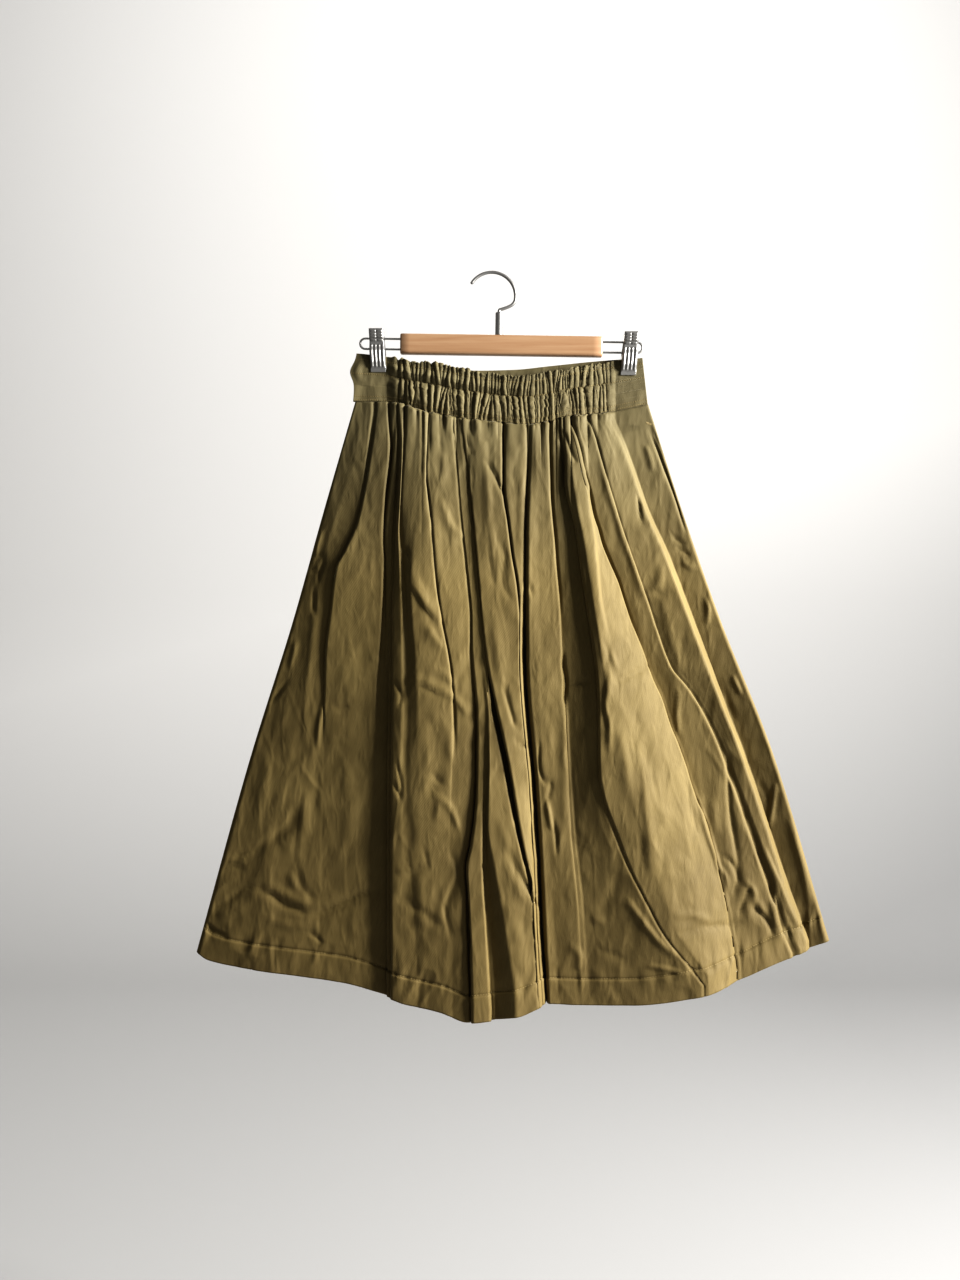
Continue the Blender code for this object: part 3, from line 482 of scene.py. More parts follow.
# A jaw's outline from its top, as (out, below), and its louvres, ribs and edges.
JAW = ((9.2, 0), (8.2, 9), (5.2, 14.5), (5.2, 18.5), (7.6, 26), (7.0, 36), (4.6, 42), (3.5, 45.5), (3.5, 49))
JAW_ROWS, JAW_COLUMNS = 110, 61
JAW_TOP_WIDTH = 0.93
LOUVRE_ROWS, LOUVRE_TOP, LOUVRE_PITCH, LOUVRE_RISE = 4, 3.0, 3.3, 1.1
LOUVRE_ACROSS, LOUVRE_HALF_WIDTH, LOUVRE_HALF_HEIGHT = 0.45, 0.36, 0.85
RIBS, RIB_TOP, RIB_BOTTOM, RIB_RISE = 4, 17.0, 44.0, 0.9
JAW_EDGE_DROP = 1.8
PIVOT_BELOW = 16.5
SPRING_RADIUS, SPRING_LENGTH, SPRING_WIRE, SPRING_TURNS = 3.6, 11, 0.65, 7

# The photograph's viewpoint.
VIEW_X, VIEW_DISTANCE, VIEW_DEPTH = -19.5, 1500.0, 420.9
FRAME_HEIGHT = 1472.0


# ------------------------------------------------------------------------------- reading tables

def smooth_curve(points, values, at):
    """Smooth reading of a table that passes through its points without overshooting."""
    points = np.asarray(points, float)
    values = np.asarray(values, float)
    at = np.clip(np.asarray(at, float), points[0], points[-1])
    step = np.diff(points)
    slope = np.diff(values) / step
    tangent = np.empty_like(values)
    tangent[0], tangent[-1] = slope[0], slope[-1]
    for i in range(1, len(points) - 1):
        before, after = slope[i - 1], slope[i]
        same_way = before * after > 0
        tangent[i] = 2 * before * after / (before + after) if same_way else 0.0
    k = np.clip(np.searchsorted(points, at, side="right") - 1, 0, len(step) - 1)
    t = (at - points[k]) / step[k]
    rise = values[k + 1] - values[k]
    a = step[k] * tangent[k] - rise
    b = rise - step[k] * tangent[k + 1]
    return values[k] + t * rise + t * (1 - t) * (a * (1 - t) + b * t)


def down(column, v):
    return smooth_curve(STATIONS[len(column)], column, v)


def edge_depth(edge, x):
    return smooth_curve([p[0] for p in edge], [p[1] for p in edge], x)


def smoothstep(low, high, value):
    t = np.clip((value - low) / (high - low), 0, 1)
    return t * t * (3 - 2 * t)


def lumps(u, v, size_u, size_v, seed):
    """Uneven heights from -1 to 1, with lumps of the given size, the same each run."""
    rng = np.random.default_rng(seed)
    a = u / size_u
    b = v / size_v
    ia, ib = np.floor(a).astype(int), np.floor(b).astype(int)
    ia0, ib0 = ia.min(), ib.min()
    table = rng.uniform(-1, 1, (ia.max() - ia0 + 2, ib.max() - ib0 + 2))
    fa, fb = a - ia, b - ib
    fa = fa * fa * fa * (fa * (6 * fa - 15) + 10)
    fb = fb * fb * fb * (fb * (6 * fb - 15) + 10)
    ia, ib = ia - ia0, ib - ib0
    low = table[ia, ib] * (1 - fa) + table[ia + 1, ib] * fa
    high = table[ia, ib + 1] * (1 - fa) + table[ia + 1, ib + 1] * fa
    return low * (1 - fb) + high * fb


# --------------------------------------------------------------------------------- leg panels

def from_view(x, depth, out):
    """Where cloth that stands out by out lies, when it is seen at (x, depth) on the side-seam plane."""
    nearer = (VIEW_DISTANCE - out) / VIEW_DISTANCE
    return VIEW_X + (x - VIEW_X) * nearer, VIEW_DEPTH + (depth - VIEW_DEPTH) * nearer


def share_down(x, depth, hem):
    top, low = edge_depth(WAIST_SEAM, x), edge_depth(hem, x)
    return (depth - top) / (low - top)


def path_x(path, out, v, panel):
    """How far across a line is at each level."""
    x, depth = np.array(path, float).T
    if panel.sign > 0:
        x, depth = from_view(x, depth, down(out, np.clip(share_down(x, depth, panel.hem), 0, 1)))
    return smooth_curve(share_down(x, depth, panel.hem), x, v)


def line_points(line, v, panel):
    """A bend's point, or a fold's left lip, both edges of its floor and right lip, as (x, out)."""
    if isinstance(line, Bend):
        return [(path_x(line.path, line.out, v, panel), down(line.out, v))]
    x = path_x(line.path, line.left, v, panel)
    left, right = down(line.left, v), down(line.right, v)
    gap, dip = down(line.gap, v), down(line.dip, v)
    floor = (left + right) / 2 - (1 - FLOOR_RISE) * dip
    half_floor = FLOOR_HALF_WIDTH * gap
    return [(x - gap / 2, left), (x - half_floor, floor), (x + half_floor, floor), (x + gap / 2, right)]


def stretch(a, b, soft_a, soft_b, crown, v):
    """Points between two lines: near each of them, where the cloth turns, and in the middle."""
    width = np.maximum(b[0] - a[0], LEAST_STEP)
    near = np.minimum(soft_a / width, 0.3)
    far = 1 - np.minimum(soft_b / width, 0.3)
    lift = crown * width * smoothstep(0, 0.3, v)
    return [(a[0] + s * (b[0] - a[0]), a[1] + s * (b[1] - a[1]) + lift * 4 * s * (1 - s))
            for s in (near, (near + far) / 2, far)]


def panel_controls(panel, v):
    """The points that each level of a panel passes through, left to right, as (levels, points, 2)."""
    side_x, centre_x = down(panel.side, v), down(CENTRE, v)
    inward = 1 if centre_x[0] > side_x[0] else -1
    at_side = panel.sign * down(panel.side_out, v) + SEAM_GAP / 2
    rounding = down(panel.side_round, v)
    side_end = [(side_x, at_side), (side_x, at_side + 0.4 * rounding),
                (side_x + inward * 1.2 * rounding, at_side + 1.3 * rounding)]
    centre_out = down(panel.lip, v)
    below = SEAM_GAP / 2 + panel.sign * down(FRONT_SEAM_OUT, v)
    meet = np.where(v >= CROTCH, below, down(panel.seam_out, v))
    wall_x = centre_x - inward * (CLOTH_WALL + SEAM_GAP + down(LEG_PARTING, v)) / 2
    centre_end = [(wall_x, meet), (wall_x, centre_out - CENTRE_LIP_DROP * (centre_out - meet)),
                  (centre_x - inward * down(CENTRE_GAP, v) / 2, centre_out)]
    first, last = (side_end, centre_end) if inward > 0 else (centre_end, side_end)
    section = list(first)
    soft, crown = END_SOFT, 0
    for line in panel.lines:
        points = line_points(line, v, panel)
        own_soft = line.soft if isinstance(line, Bend) else LIP_SOFT
        section += stretch(section[-1], points[0], soft, own_soft, crown, v) + points
        soft, crown = own_soft, line.crown
    section += stretch(section[-1], last[-1], soft, END_SOFT, crown, v) + last[::-1]
    xs = [point[0] for point in section]
    inner = range(len(first), len(xs) - len(last))
    for i in inner:
        xs[i] = np.maximum(xs[i], xs[i - 1] + LEAST_STEP)
    for i in inner[::-1]:
        xs[i] = np.minimum(xs[i], xs[i + 1] - LEAST_STEP)
    return np.stack([np.stack([x, point[1]], axis=-1) for x, point in zip(xs, section)], axis=1)


def rounded(points, counts):
    """A smooth line through each level's points, with counts[k] steps after point k."""
    first = 2 * points[:, :1] - points[:, 1:2]
    last = 2 * points[:, -1:] - points[:, -2:-1]
    padded = np.concatenate([first, points, last], axis=1)
    steps = np.sqrt(np.maximum(np.linalg.norm(np.diff(padded, axis=1), axis=2), 1e-3))
    knots = np.concatenate([np.zeros((len(points), 1)), np.cumsum(steps, axis=1)], axis=1)[..., None]
    pieces = []
    for k, count in enumerate(counts):
        share = (np.arange(count) / count)[None, :, None]
        p0, p1, p2, p3 = (padded[:, k + i:k + i + 1] for i in range(4))
        t0, t1, t2, t3 = (knots[:, k + i:k + i + 1] for i in range(4))
        t = t1 + (t2 - t1) * share
        a1 = (t1 - t) / (t1 - t0) * p0 + (t - t0) / (t1 - t0) * p1
        a2 = (t2 - t) / (t2 - t1) * p1 + (t - t1) / (t2 - t1) * p2
        a3 = (t3 - t) / (t3 - t2) * p2 + (t - t2) / (t3 - t2) * p3
        b1 = (t2 - t) / (t2 - t0) * a1 + (t - t0) / (t2 - t0) * a2
        b2 = (t3 - t) / (t3 - t1) * a2 + (t - t1) / (t3 - t1) * a3
        pieces.append((t2 - t) / (t2 - t1) * b1 + (t - t1) / (t2 - t1) * b2)
    pieces.append(points[:, -1:])
    return np.concatenate(pieces, axis=1)


def shared_columns(points, total):
    """How many columns each stretch between two points gets, so that all are about as wide."""
    lengths = np.linalg.norm(np.diff(points, axis=1), axis=2).mean(axis=0)
    counts = np.maximum(1, np.round(total * lengths / lengths.sum()).astype(int))
    while counts.sum() > total:
        counts[np.argmax(counts)] -= 1
    return counts


def row_levels(rows):
    """Shares of the way down, closer together at the waist seam and over the hem."""
    top = np.linspace(0, FINE_TOP_END, int(rows * TOP_ROWS), endpoint=False)
    above_hem = np.linspace(FINE_HEM_START, HEM_SHARE, int(rows * ABOVE_HEM_ROWS), endpoint=False)
    hem = np.linspace(HEM_SHARE, 1, int(rows * HEM_ROWS))
    plain = rows - len(top) - len(above_hem) - len(hem)
    middle = np.linspace(FINE_TOP_END, FINE_HEM_START, plain, endpoint=False)
    return np.concatenate([top, middle, above_hem, hem])


def surface_normals(points, outward_y):
    """Normals of a grid of points, turned to the side of outward_y."""
    normal = np.cross(np.gradient(points, axis=0), np.gradient(points, axis=1))
    normal /= np.maximum(np.linalg.norm(normal, axis=2, keepdims=True), 1e-9)
    return normal if normal[..., 1].sum() * outward_y > 0 else -normal


def way_along(points):
    """How far along its own row each point of a grid is."""
    steps = np.linalg.norm(np.diff(points, axis=1), axis=2)
    return np.concatenate([np.zeros((len(points), 1)), np.cumsum(steps, axis=1)], axis=1)


def panel_surface(panel):
    """A leg panel as rows of points (x, y, z) in millimetres, with each row's share of the way down."""
    v = row_levels(panel.rows)
    controls = panel_controls(panel, v)
    section = rounded(controls, shared_columns(controls, panel.columns))
    x, out = section[..., 0], section[..., 1]
    top = seam_depth(x[0]) + WAIST_GAP / 2
    low = edge_depth(panel.hem, x[-1])
    depth = top + v[:, None] * (low - top)
    return np.stack([x, -panel.sign * out, -depth], axis=-1), v


def crease_relief(points, creases, sign):
    """Height of the small creases, each laid along its own path."""
    x, depth = points[..., 0], -points[..., 2]
    if sign > 0:
        larger = VIEW_DISTANCE / (VIEW_DISTANCE + points[..., 1])
        x, depth = VIEW_X + (x - VIEW_X) * larger, VIEW_DEPTH + (depth - VIEW_DEPTH) * larger
    relief = np.zeros_like(x)
    for crease in creases:
        path = np.array([crease.path], float)
        route = rounded(path, [6] * (path.shape[1] - 1))[0]
        reach = 3 * max(crease.left, crease.right)
        (low_x, low_depth), (high_x, high_depth) = route.min(axis=0) - reach, route.max(axis=0) + reach
        near = (x > low_x) & (x < high_x) & (depth > low_depth) & (depth < high_depth)
        if not near.any():
            continue
        steps = np.linalg.norm(np.diff(route, axis=0), axis=1)
        arc = np.concatenate([[0], np.cumsum(steps)])
        tangent = np.gradient(route, axis=0)
        tangent /= np.linalg.norm(tangent, axis=1, keepdims=True)
        off_x, off_depth = x[near][:, None] - route[:, 0], depth[near][:, None] - route[:, 1]
        nearest = np.argmin(off_x ** 2 + off_depth ** 2, axis=1)
        row = np.arange(len(nearest))
        off_x, off_depth, along = off_x[row, nearest], off_depth[row, nearest], tangent[nearest]
        across = along[:, 1] * off_x - along[:, 0] * off_depth
        share = np.clip((arc[nearest] + along[:, 0] * off_x + along[:, 1] * off_depth) / arc[-1], 0, 1)
        width = np.where(across > 0, crease.right, crease.left)
        fade = np.sqrt(4 * share * (1 - share))
        relief[near] += CREASE_RISE * crease.rise * fade * np.exp(-(across / width) ** 2)
    return relief


def hem_relief(u, v, length, seed):
    """The turned-up hem: a slight step at its stitch line, with puckers along it."""
    off = (v[:, None] - HEM_SHARE) * length
    step = HEM_STEP * smoothstep(-0.8, 1.6, off)
    groove = -HEM_GROOVE * np.exp(-(off / 1.3) ** 2)
    row = np.zeros_like(u)
    pucker = lumps(u, row, 4.5, 1, seed) + 0.6 * lumps(u, row, 9, 1, seed + 1)
    strength = 0.45 + 0.45 * lumps(u, row, 60, 1, seed + 2)
    return step + groove + HEM_PUCKER * strength * pucker * np.exp(-np.abs(off) / 10)


def gather_valleys(channel, share):
    """Where the valleys between a channel's gathers run, at share of the way down it."""
    rng = np.random.default_rng(channel.seed)
    widths = rng.uniform(0.35, 1.7, channel.gathers)
    from_end = np.minimum(np.arange(channel.gathers), np.arange(channel.gathers)[::-1])
    widths *= 1 + 1.1 * np.exp(-from_end / 1.5)
    base = np.concatenate([[0], np.cumsum(widths)]) / widths.sum()
    lean, bow, turn = (np.convolve(rng.uniform(-1, 1, channel.gathers + 1), (0.3, 0.6, 0.3), "same")
                       for _ in range(3))
    ease = np.minimum(1, 8 * np.minimum(base, 1 - base))
    sway = channel.lean * lean * (2 * share - 1) + 0.8 * bow * np.sin(2 * np.pi * share + 3 * turn)
    least = LEAST_GATHER * np.arange(channel.gathers + 1)
    across = GATHER_LEFT + base * (GATHER_RIGHT - GATHER_LEFT) + ease * sway
    return np.maximum.accumulate(across - least) + least


def gather_wave(x, channel, share):
    """A channel's gathers, from -1 in their sharp valleys to about 1 on their round crests."""
    valleys = gather_valleys(channel, share)
    rng = np.random.default_rng(channel.seed + 1)
    skew, size = np.exp(rng.uniform(-0.5, 0.5, channel.gathers)), rng.uniform(0.45, 1.45, channel.gathers)
    k = np.clip(np.searchsorted(valleys, x, side="right") - 1, 0, channel.gathers - 1)
    width = valleys[k + 1] - valleys[k]
    w = np.clip((x - valleys[k]) / width, 0, 1)
    crest = np.sin(np.pi * w ** skew[k]) ** 0.5
    return (1 + size[k] * np.clip(width / 5.5, 0.35, 1.3)) * crest - 1


def gathered(x):
    """1 along the gathered stretch of the waist, falling to 0 at its two smooth ends."""
    return (smoothstep(GATHER_LEFT - 10, GATHER_LEFT + 18, x)
            * (1 - smoothstep(GATHER_RIGHT - 18, GATHER_RIGHT + 6, x)))


def seam_depth(x):
    """The waist seam, which rises and falls a little with the gathers it holds."""
    return edge_depth(WAIST_SEAM, x) + SEAM_ARCS * gathered(x) * gather_wave(x, LOWER, 1.0)


def waist_gather_relief(x, below):
    """What the gathers still show of themselves on a panel just below the waist seam."""
    k = np.searchsorted(gather_valleys(PLEATS, 1.0), x)
    reach = 18 + 50 * (0.5 + 0.5 * np.sin(5.1 * k)) ** 2
    fine = FINE_RELIEF * gather_wave(x, LOWER, 1.0) * np.exp(-below / 9)
    return gathered(x) * (fine + PLEAT_RELIEF * gather_wave(x, PLEATS, 1.0) * np.exp(-below / reach))


def panel_relief(points, v, panel):
    """Height of the finer forms above the panel's big folds."""
    x, depth = points[..., 0], -points[..., 2]
    u = way_along(points)
    length = (depth[-1] - depth[0])[None, :]
    relief = hem_relief(u, v, length, panel.seed)
    if panel.sign > 0:
        relief += waist_gather_relief(x, depth - depth[0])
    relief += crease_relief(points, panel.creases, panel.sign)
    lower = smoothstep(0.15, 0.9, v)[:, None]
    relief += (0.2 + 0.4 * lower) * lumps(u, depth, 26, 90, panel.seed + 3)
    relief += 0.15 * lumps(u, depth, 8, 60, panel.seed + 6)
    crumple = 1 - 2 * np.abs(lumps(u + 0.3 * depth, depth - 0.2 * u, 19, 30, panel.seed + 4))
    cross = 1 - 2 * np.abs(lumps(u - 0.5 * depth, depth + 0.4 * u, 24, 30, panel.seed + 7))
    patches = 0.5 + 0.5 * lumps(u, depth, 60, 80, panel.seed + 5)
    relief += (0.2 + 0.5 * lower) * (patches * crumple + (1 - patches) * 0.8 * cross)
    return relief, u


def fade_at_seams(relief, v):
    """Relief dies away at the side seam, at the seam between the legs and at the waist seam."""
    columns = relief.shape[1]
    from_edge = np.minimum(np.arange(columns), np.arange(columns)[::-1])
    return relief * smoothstep(0, 5, from_edge)[None, :] * smoothstep(-0.002, 0.004, v)[:, None]


Panel = namedtuple("Panel", "name lines creases side side_out side_round lip seam_out hem sign rows "
                            "columns seed")
LEG_PANELS = (
    Panel("front_left", FRONT_LEFT_LINES, FRONT_CREASES, SIDE_LEFT, SIDE_OUT_LEFT, SIDE_ROUND_LEFT,
          FRONT_LIP_LEFT, FRONT_SEAM_OUT, FRONT_HEM, 1, 196, 250, 11),
    Panel("front_right", FRONT_RIGHT_LINES, FRONT_CREASES, SIDE_RIGHT, SIDE_OUT_RIGHT, SIDE_ROUND_RIGHT,
          FRONT_LIP_RIGHT, FRONT_SEAM_OUT, FRONT_HEM, 1, 210, 232, 22),
    Panel("back_left", BACK_LEFT_LINES, BACK_CREASES, SIDE_LEFT, SIDE_OUT_LEFT, SIDE_ROUND_LEFT,
          BACK_LIP, BACK_SEAM_OUT, BACK_HEM, -1, 150, 140, 33),
    Panel("back_right", BACK_RIGHT_LINES, BACK_CREASES, SIDE_RIGHT, SIDE_OUT_RIGHT, SIDE_ROUND_RIGHT,
          BACK_LIP, BACK_SEAM_OUT, BACK_HEM, -1, 150, 140, 44),
)


# ------------------------------------------------------------------------------- mesh builders

def grid_object(name, points, uv, outward_y, wall, mat):
    """An open grid given its wall by Solidify. outward_y is -1 where its face looks at the viewer."""
    rows, columns = points.shape[:2]
    index = np.arange(rows * columns).reshape(rows, columns)
    quads = np.stack([index[:-1, :-1], index[1:, :-1], index[1:, 1:], index[:-1, 1:]], axis=-1).reshape(-1, 4)
    corner = points.reshape(-1, 3)
    a, b, d = corner[quads[:, 0]], corner[quads[:, 1]], corner[quads[:, 3]]
    if np.cross(b - a, d - a)[:, 1].sum() * outward_y < 0:
        quads = quads[:, ::-1]
    mesh = bpy.data.meshes.new(name)
    mesh.from_pydata((corner * MM).tolist(), [], quads.tolist())
    layer = mesh.uv_layers.new(name="cloth")
    layer.data.foreach_set("uv", (uv.reshape(-1, 2) * MM)[quads.reshape(-1)].astype(np.float32).reshape(-1))
    mesh.shade_smooth()
    obj = new_piece(name, mesh, mat)
    solidify = obj.modifiers.new("Wall", "SOLIDIFY")
    solidify.thickness = wall * MM
    solidify.offset = 0
    return obj


def new_piece(name, mesh, mat):
    obj = bpy.data.objects.new(name, mesh)
    mesh.materials.clear()
    mesh.materials.append(mat)
    bpy.context.scene.collection.objects.link(obj)
    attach(obj, "root")
    return obj


def tube_object(name, path, radius, mat, sides=16):
    """A round wire along path, points (x, y, z) in millimetres, with rounded ends."""
    path = np.asarray(path, float)
    tangent = np.gradient(path, axis=0)
    tangent /= np.linalg.norm(tangent, axis=1, keepdims=True)
    across = np.cross(tangent[0], (0.0, 1.0, 0.0))
    if np.linalg.norm(across) < 0.1:
        across = np.cross(tangent[0], (0.0, 0.0, 1.0))
    angle = (2 * np.pi * np.arange(sides) / sides)[:, None]
    rings = []
    for centre, along in zip(path, tangent):
        across = across - along * across.dot(along)
        across /= np.linalg.norm(across)
        other = np.cross(along, across)
        rings.append(centre + radius * (np.cos(angle) * across + np.sin(angle) * other))
    rings = round_cap(rings[0], path[0], -tangent[0], radius)[::-1] + rings
    rings += round_cap(rings[-1], path[-1], tangent[-1], radius)
    return solid_object(name, np.concatenate(rings), loft_faces(len(rings), sides), mat)


def round_cap(ring, centre, outward, radius, steps=4):
    """Rings that close a wire's end like half a ball, from the wire outwards."""
    rings = []
    for i in range(1, steps + 1):
        angle = math.pi / 2 * i / (steps + 0.4)
        rings.append(centre + (ring - centre) * math.cos(angle) + outward * radius * math.sin(angle))
    return rings


def loft_faces(rings, sides, capped=True):
    """The faces between rings of points, each with as many sides, and the two end faces."""
    faces = []
    for i in range(rings - 1):
        for j in range(sides):
            k = (j + 1) % sides
            faces.append((i * sides + j, i * sides + k, (i + 1) * sides + k, (i + 1) * sides + j))
    if capped:
        faces.append(tuple(range(sides))[::-1])
        faces.append(tuple((rings - 1) * sides + j for j in range(sides)))
    return faces


def solid_object(name, points, faces, mat, sharp=None, weld=False):
    """A solid from points (x, y, z) in millimetres. Edges over sharp, in degrees, are not smoothed."""
    mesh = bpy.data.meshes.new(name)
    mesh.from_pydata((np.asarray(points) * MM).tolist(), [], faces)
    bm = bmesh.new()
    bm.from_mesh(mesh)
    if weld:
        bmesh.ops.remove_doubles(bm, verts=bm.verts, dist=1e-6)
    bmesh.ops.recalc_face_normals(bm, faces=bm.faces)
    bm.to_mesh(mesh)
    bm.free()
    mesh.shade_smooth()
    if sharp:
        mesh.set_sharp_from_angle(angle=math.radians(sharp))
    return new_piece(name, mesh, mat)


# ---------------------------------------------------------------------------------------- nodes

def set_sockets(tree, node, sockets):
    """Gives each named socket of a node its value, or a link from another node's output."""
    for name, value in sockets.items():
        socket = node.inputs[name.replace("_", " ")]
        if isinstance(value, bpy.types.NodeSocket):
            tree.links.new(value, socket)
        else:
            socket.default_value = value


def add_node(tree, kind, settings=None, **sockets):
    """A new node with its settings and sockets."""
    node = tree.nodes.new(kind)
    for name, value in (settings or {}).items():
        setattr(node, name, value)
    set_sockets(tree, node, sockets)
    return node


def add_ramp(tree, share, *stops):
    """A colour that goes from one stop, (position, colour), to the next."""
    ramp = add_node(tree, "ShaderNodeValToRGB", Fac=share)
    for element, (position, colour) in zip(ramp.color_ramp.elements, stops):
        element.position = position
        element.color = (*colour, 1)
    return ramp.outputs["Color"]


def add_bump(tree, height, under, strength, distance, invert=False):
    """A bump laid over the one under it."""
    bump = add_node(tree, "ShaderNodeBump", {"invert": invert}, Height=height, Strength=strength,
                    Distance=distance)
    if under:
        tree.links.new(under, bump.inputs["Normal"])
    return bump.outputs["Normal"]


def add_scaled(tree, kind, value, factor, added):
    """value times factor, plus added."""
    node = add_node(tree, kind, {"operation": "MULTIPLY_ADD"})
    tree.links.new(value, node.inputs[0])
    node.inputs[1].default_value = factor
    tree.links.new(added, node.inputs[2])
    return node.outputs[0]


# ------------------------------------------------------------------------------------ materials

# The drill's colour changes by height, each from its first height to its last, in metres: greyer and bluer
# above, painted shade below.
DRILL_TINT_AND_SHADE = ((-0.36, -0.12, (0.8, 0.9, 1.2, 1)), (-0.45, -0.85, (0.78, 0.75, 0.68, 1)))
# Its ridged crumple, from coarse to fine: scale, detail, distortion, strength, height in metres.
DRILL_CRUMPLE = ((16, 4, 0.6, 0.7, 0.0022), (60, 4, 0.4, 0.7, 0.0014), (190, 3, 0.2, 0.6, 0.0005))
# Its sharp small creases: scale, how far each reaches, height in metres.
DRILL_CREASES = ((13, 0.12, 0.0005), (37, 0.2, 0.0003))


def new_material(name):
    mat = bpy.data.materials.new(name)
    mat.use_nodes = True
    return mat, mat.node_tree, mat.node_tree.nodes["Principled BSDF"]


def drill_material():
    """Olive cotton drill: a fine diagonal weave, soft crumple, colour that is a little uneven, greyer above,
    and painted shade that darkens it towards the hem.
    """
    mat, tree, shader = new_material("olive_drill")
    uv = add_node(tree, "ShaderNodeUVMap", {"uv_map": "cloth"}).outputs["UV"]
    place = add_node(tree, "ShaderNodeTexCoord").outputs["Object"]

    mottle = add_node(tree, "ShaderNodeTexNoise", Vector=place, Scale=9, Detail=5)
    slub_place = add_node(tree, "ShaderNodeMapping", Vector=uv, Scale=(900, 60, 1))
    slub = add_node(tree, "ShaderNodeTexNoise", Vector=slub_place.outputs["Vector"], Scale=1, Detail=3)
    blend = add_node(tree, "ShaderNodeMix", {"data_type": "FLOAT"}, Factor=0.35,
                     A=mottle.outputs["Fac"], B=slub.outputs["Fac"])
    colour = add_ramp(tree, blend.outputs["Result"],
                      (0.3, (0.109, 0.08, 0.028)), (0.72, (0.176, 0.134, 0.052)))
    height = add_node(tree, "ShaderNodeSeparateXYZ", Vector=place).outputs["Z"]
    # Above, the cloth turns greyer and bluer; towards the hem, painted shade darkens it.
    for first, last, tint_and_shade in DRILL_TINT_AND_SHADE:
        share = add_node(tree, "ShaderNodeMapRange", Value=height, From_Min=first, From_Max=last)
        tinted_and_shaded = add_node(tree, "ShaderNodeMix", {"data_type": "RGBA", "blend_type": "MULTIPLY"},
                          Factor=share.outputs["Result"], A=colour, B=tint_and_shade)
        colour = tinted_and_shaded.outputs["Result"]

    stretched = add_node(tree, "ShaderNodeMapping", Vector=place, Scale=(1, 1, 0.4)).outputs["Vector"]
    normal = None
    for scale, detail, distortion, strength, distance in DRILL_CRUMPLE:
        crumple = add_node(tree, "ShaderNodeTexNoise", {"noise_type": "RIDGED_MULTIFRACTAL"},
                           Vector=stretched, Scale=scale, Detail=detail, Distortion=distortion)
        normal = add_bump(tree, crumple.outputs["Fac"], normal, strength, distance)
    wander = add_node(tree, "ShaderNodeTexNoise", Vector=stretched, Scale=14, Detail=2)
    astray = add_scaled(tree, "ShaderNodeVectorMath", wander.outputs["Color"], (0.09, 0.09, 0.09), stretched)
    for scale, reach, distance in DRILL_CREASES:
        cells = add_node(tree, "ShaderNodeTexVoronoi", {"feature": "DISTANCE_TO_EDGE"}, Vector=astray,
                         Scale=scale)
        crease = add_node(tree, "ShaderNodeMapRange", {"interpolation_type": "SMOOTHSTEP"},
                          Value=cells.outputs["Distance"], From_Max=reach)
        normal = add_bump(tree, crease.outputs["Result"], normal, 0.6, distance, invert=True)
    weave_place = add_node(tree, "ShaderNodeMapping", Vector=uv, Rotation=(0, 0, math.radians(63)))
    weave = add_node(tree, "ShaderNodeTexWave", Vector=weave_place.outputs["Vector"], Scale=260,
                     Distortion=1.2, Detail=2)
    normal = add_bump(tree, weave.outputs["Fac"], normal, 0.5, 0.0002)

    set_sockets(tree, shader, {"Base Color": colour, "Normal": normal, "Roughness": 0.72,
                               "Specular IOR Level": 0.3, "Sheen Weight": 0.06, "Sheen Roughness": 0.45,
                               "Sheen Tint": (1.0, 0.93, 0.78, 1)})
    return mat


def thread_material():
    """Matt sewing thread, a shade lighter than the cloth, twisted."""
    mat, tree, shader = new_material("olive_thread")
    place = add_node(tree, "ShaderNodeTexCoord").outputs["Object"]
    twist = add_node(tree, "ShaderNodeTexNoise", Vector=place, Scale=400)
    colour = add_ramp(tree, twist.outputs["Fac"], (0, (0.12, 0.085, 0.03)), (1, (0.24, 0.185, 0.075)))
    set_sockets(tree, shader, {"Base Color": colour, "Roughness": 0.7})
    return mat


def beech_material():
    """Varnished beech: pale orange-brown, with fine grain along the bar and small dark flecks."""
    mat, tree, shader = new_material("varnished_beech")
    place = add_node(tree, "ShaderNodeTexCoord").outputs["Object"]
    grain_place = add_node(tree, "ShaderNodeMapping", Vector=place, Scale=(5, 90, 140))
    grain = add_node(tree, "ShaderNodeTexNoise", Vector=grain_place.outputs["Vector"], Scale=1.5, Detail=6,
                     Distortion=0.5)
    plain = add_ramp(tree, grain.outputs["Fac"], (0.32, (0.27, 0.155, 0.082)), (0.66, (0.34, 0.22, 0.13)))
    fleck_place = add_node(tree, "ShaderNodeMapping", Vector=place, Scale=(60, 700, 700))
    fleck = add_node(tree, "ShaderNodeTexNoise", Vector=fleck_place.outputs["Vector"], Scale=1, Detail=2)
    dark = add_node(tree, "ShaderNodeMapRange", Value=fleck.outputs["Fac"], From_Min=0.62, From_Max=0.75,
                    To_Max=0.35)
    colour = add_node(tree, "ShaderNodeMix", {"data_type": "RGBA"}, Factor=dark.outputs["Result"], A=plain,
                      B=(0.19, 0.1, 0.05, 1))
    normal = add_bump(tree, grain.outputs["Fac"], None, 0.15, 0.0003)
    set_sockets(tree, shader, {"Base Color": colour.outputs["Result"], "Normal": normal, "Roughness": 0.42,
                               "Coat Weight": 0.25, "Coat Roughness": 0.3})
    return mat


def steel_material():
    """Bright plated steel with faint drawing marks."""
    mat, tree, shader = new_material("plated_steel")
    place = add_node(tree, "ShaderNodeTexCoord").outputs["Object"]
    marks = add_node(tree, "ShaderNodeTexNoise", Vector=place, Scale=260, Detail=3)
    rough = add_node(tree, "ShaderNodeMapRange", Value=marks.outputs["Fac"], To_Min=0.42, To_Max=0.55)
    set_sockets(tree, shader, {"Base Color": (0.25, 0.246, 0.238, 1), "Metallic": 1.0,
                               "Roughness": rough.outputs["Result"]})
    return mat


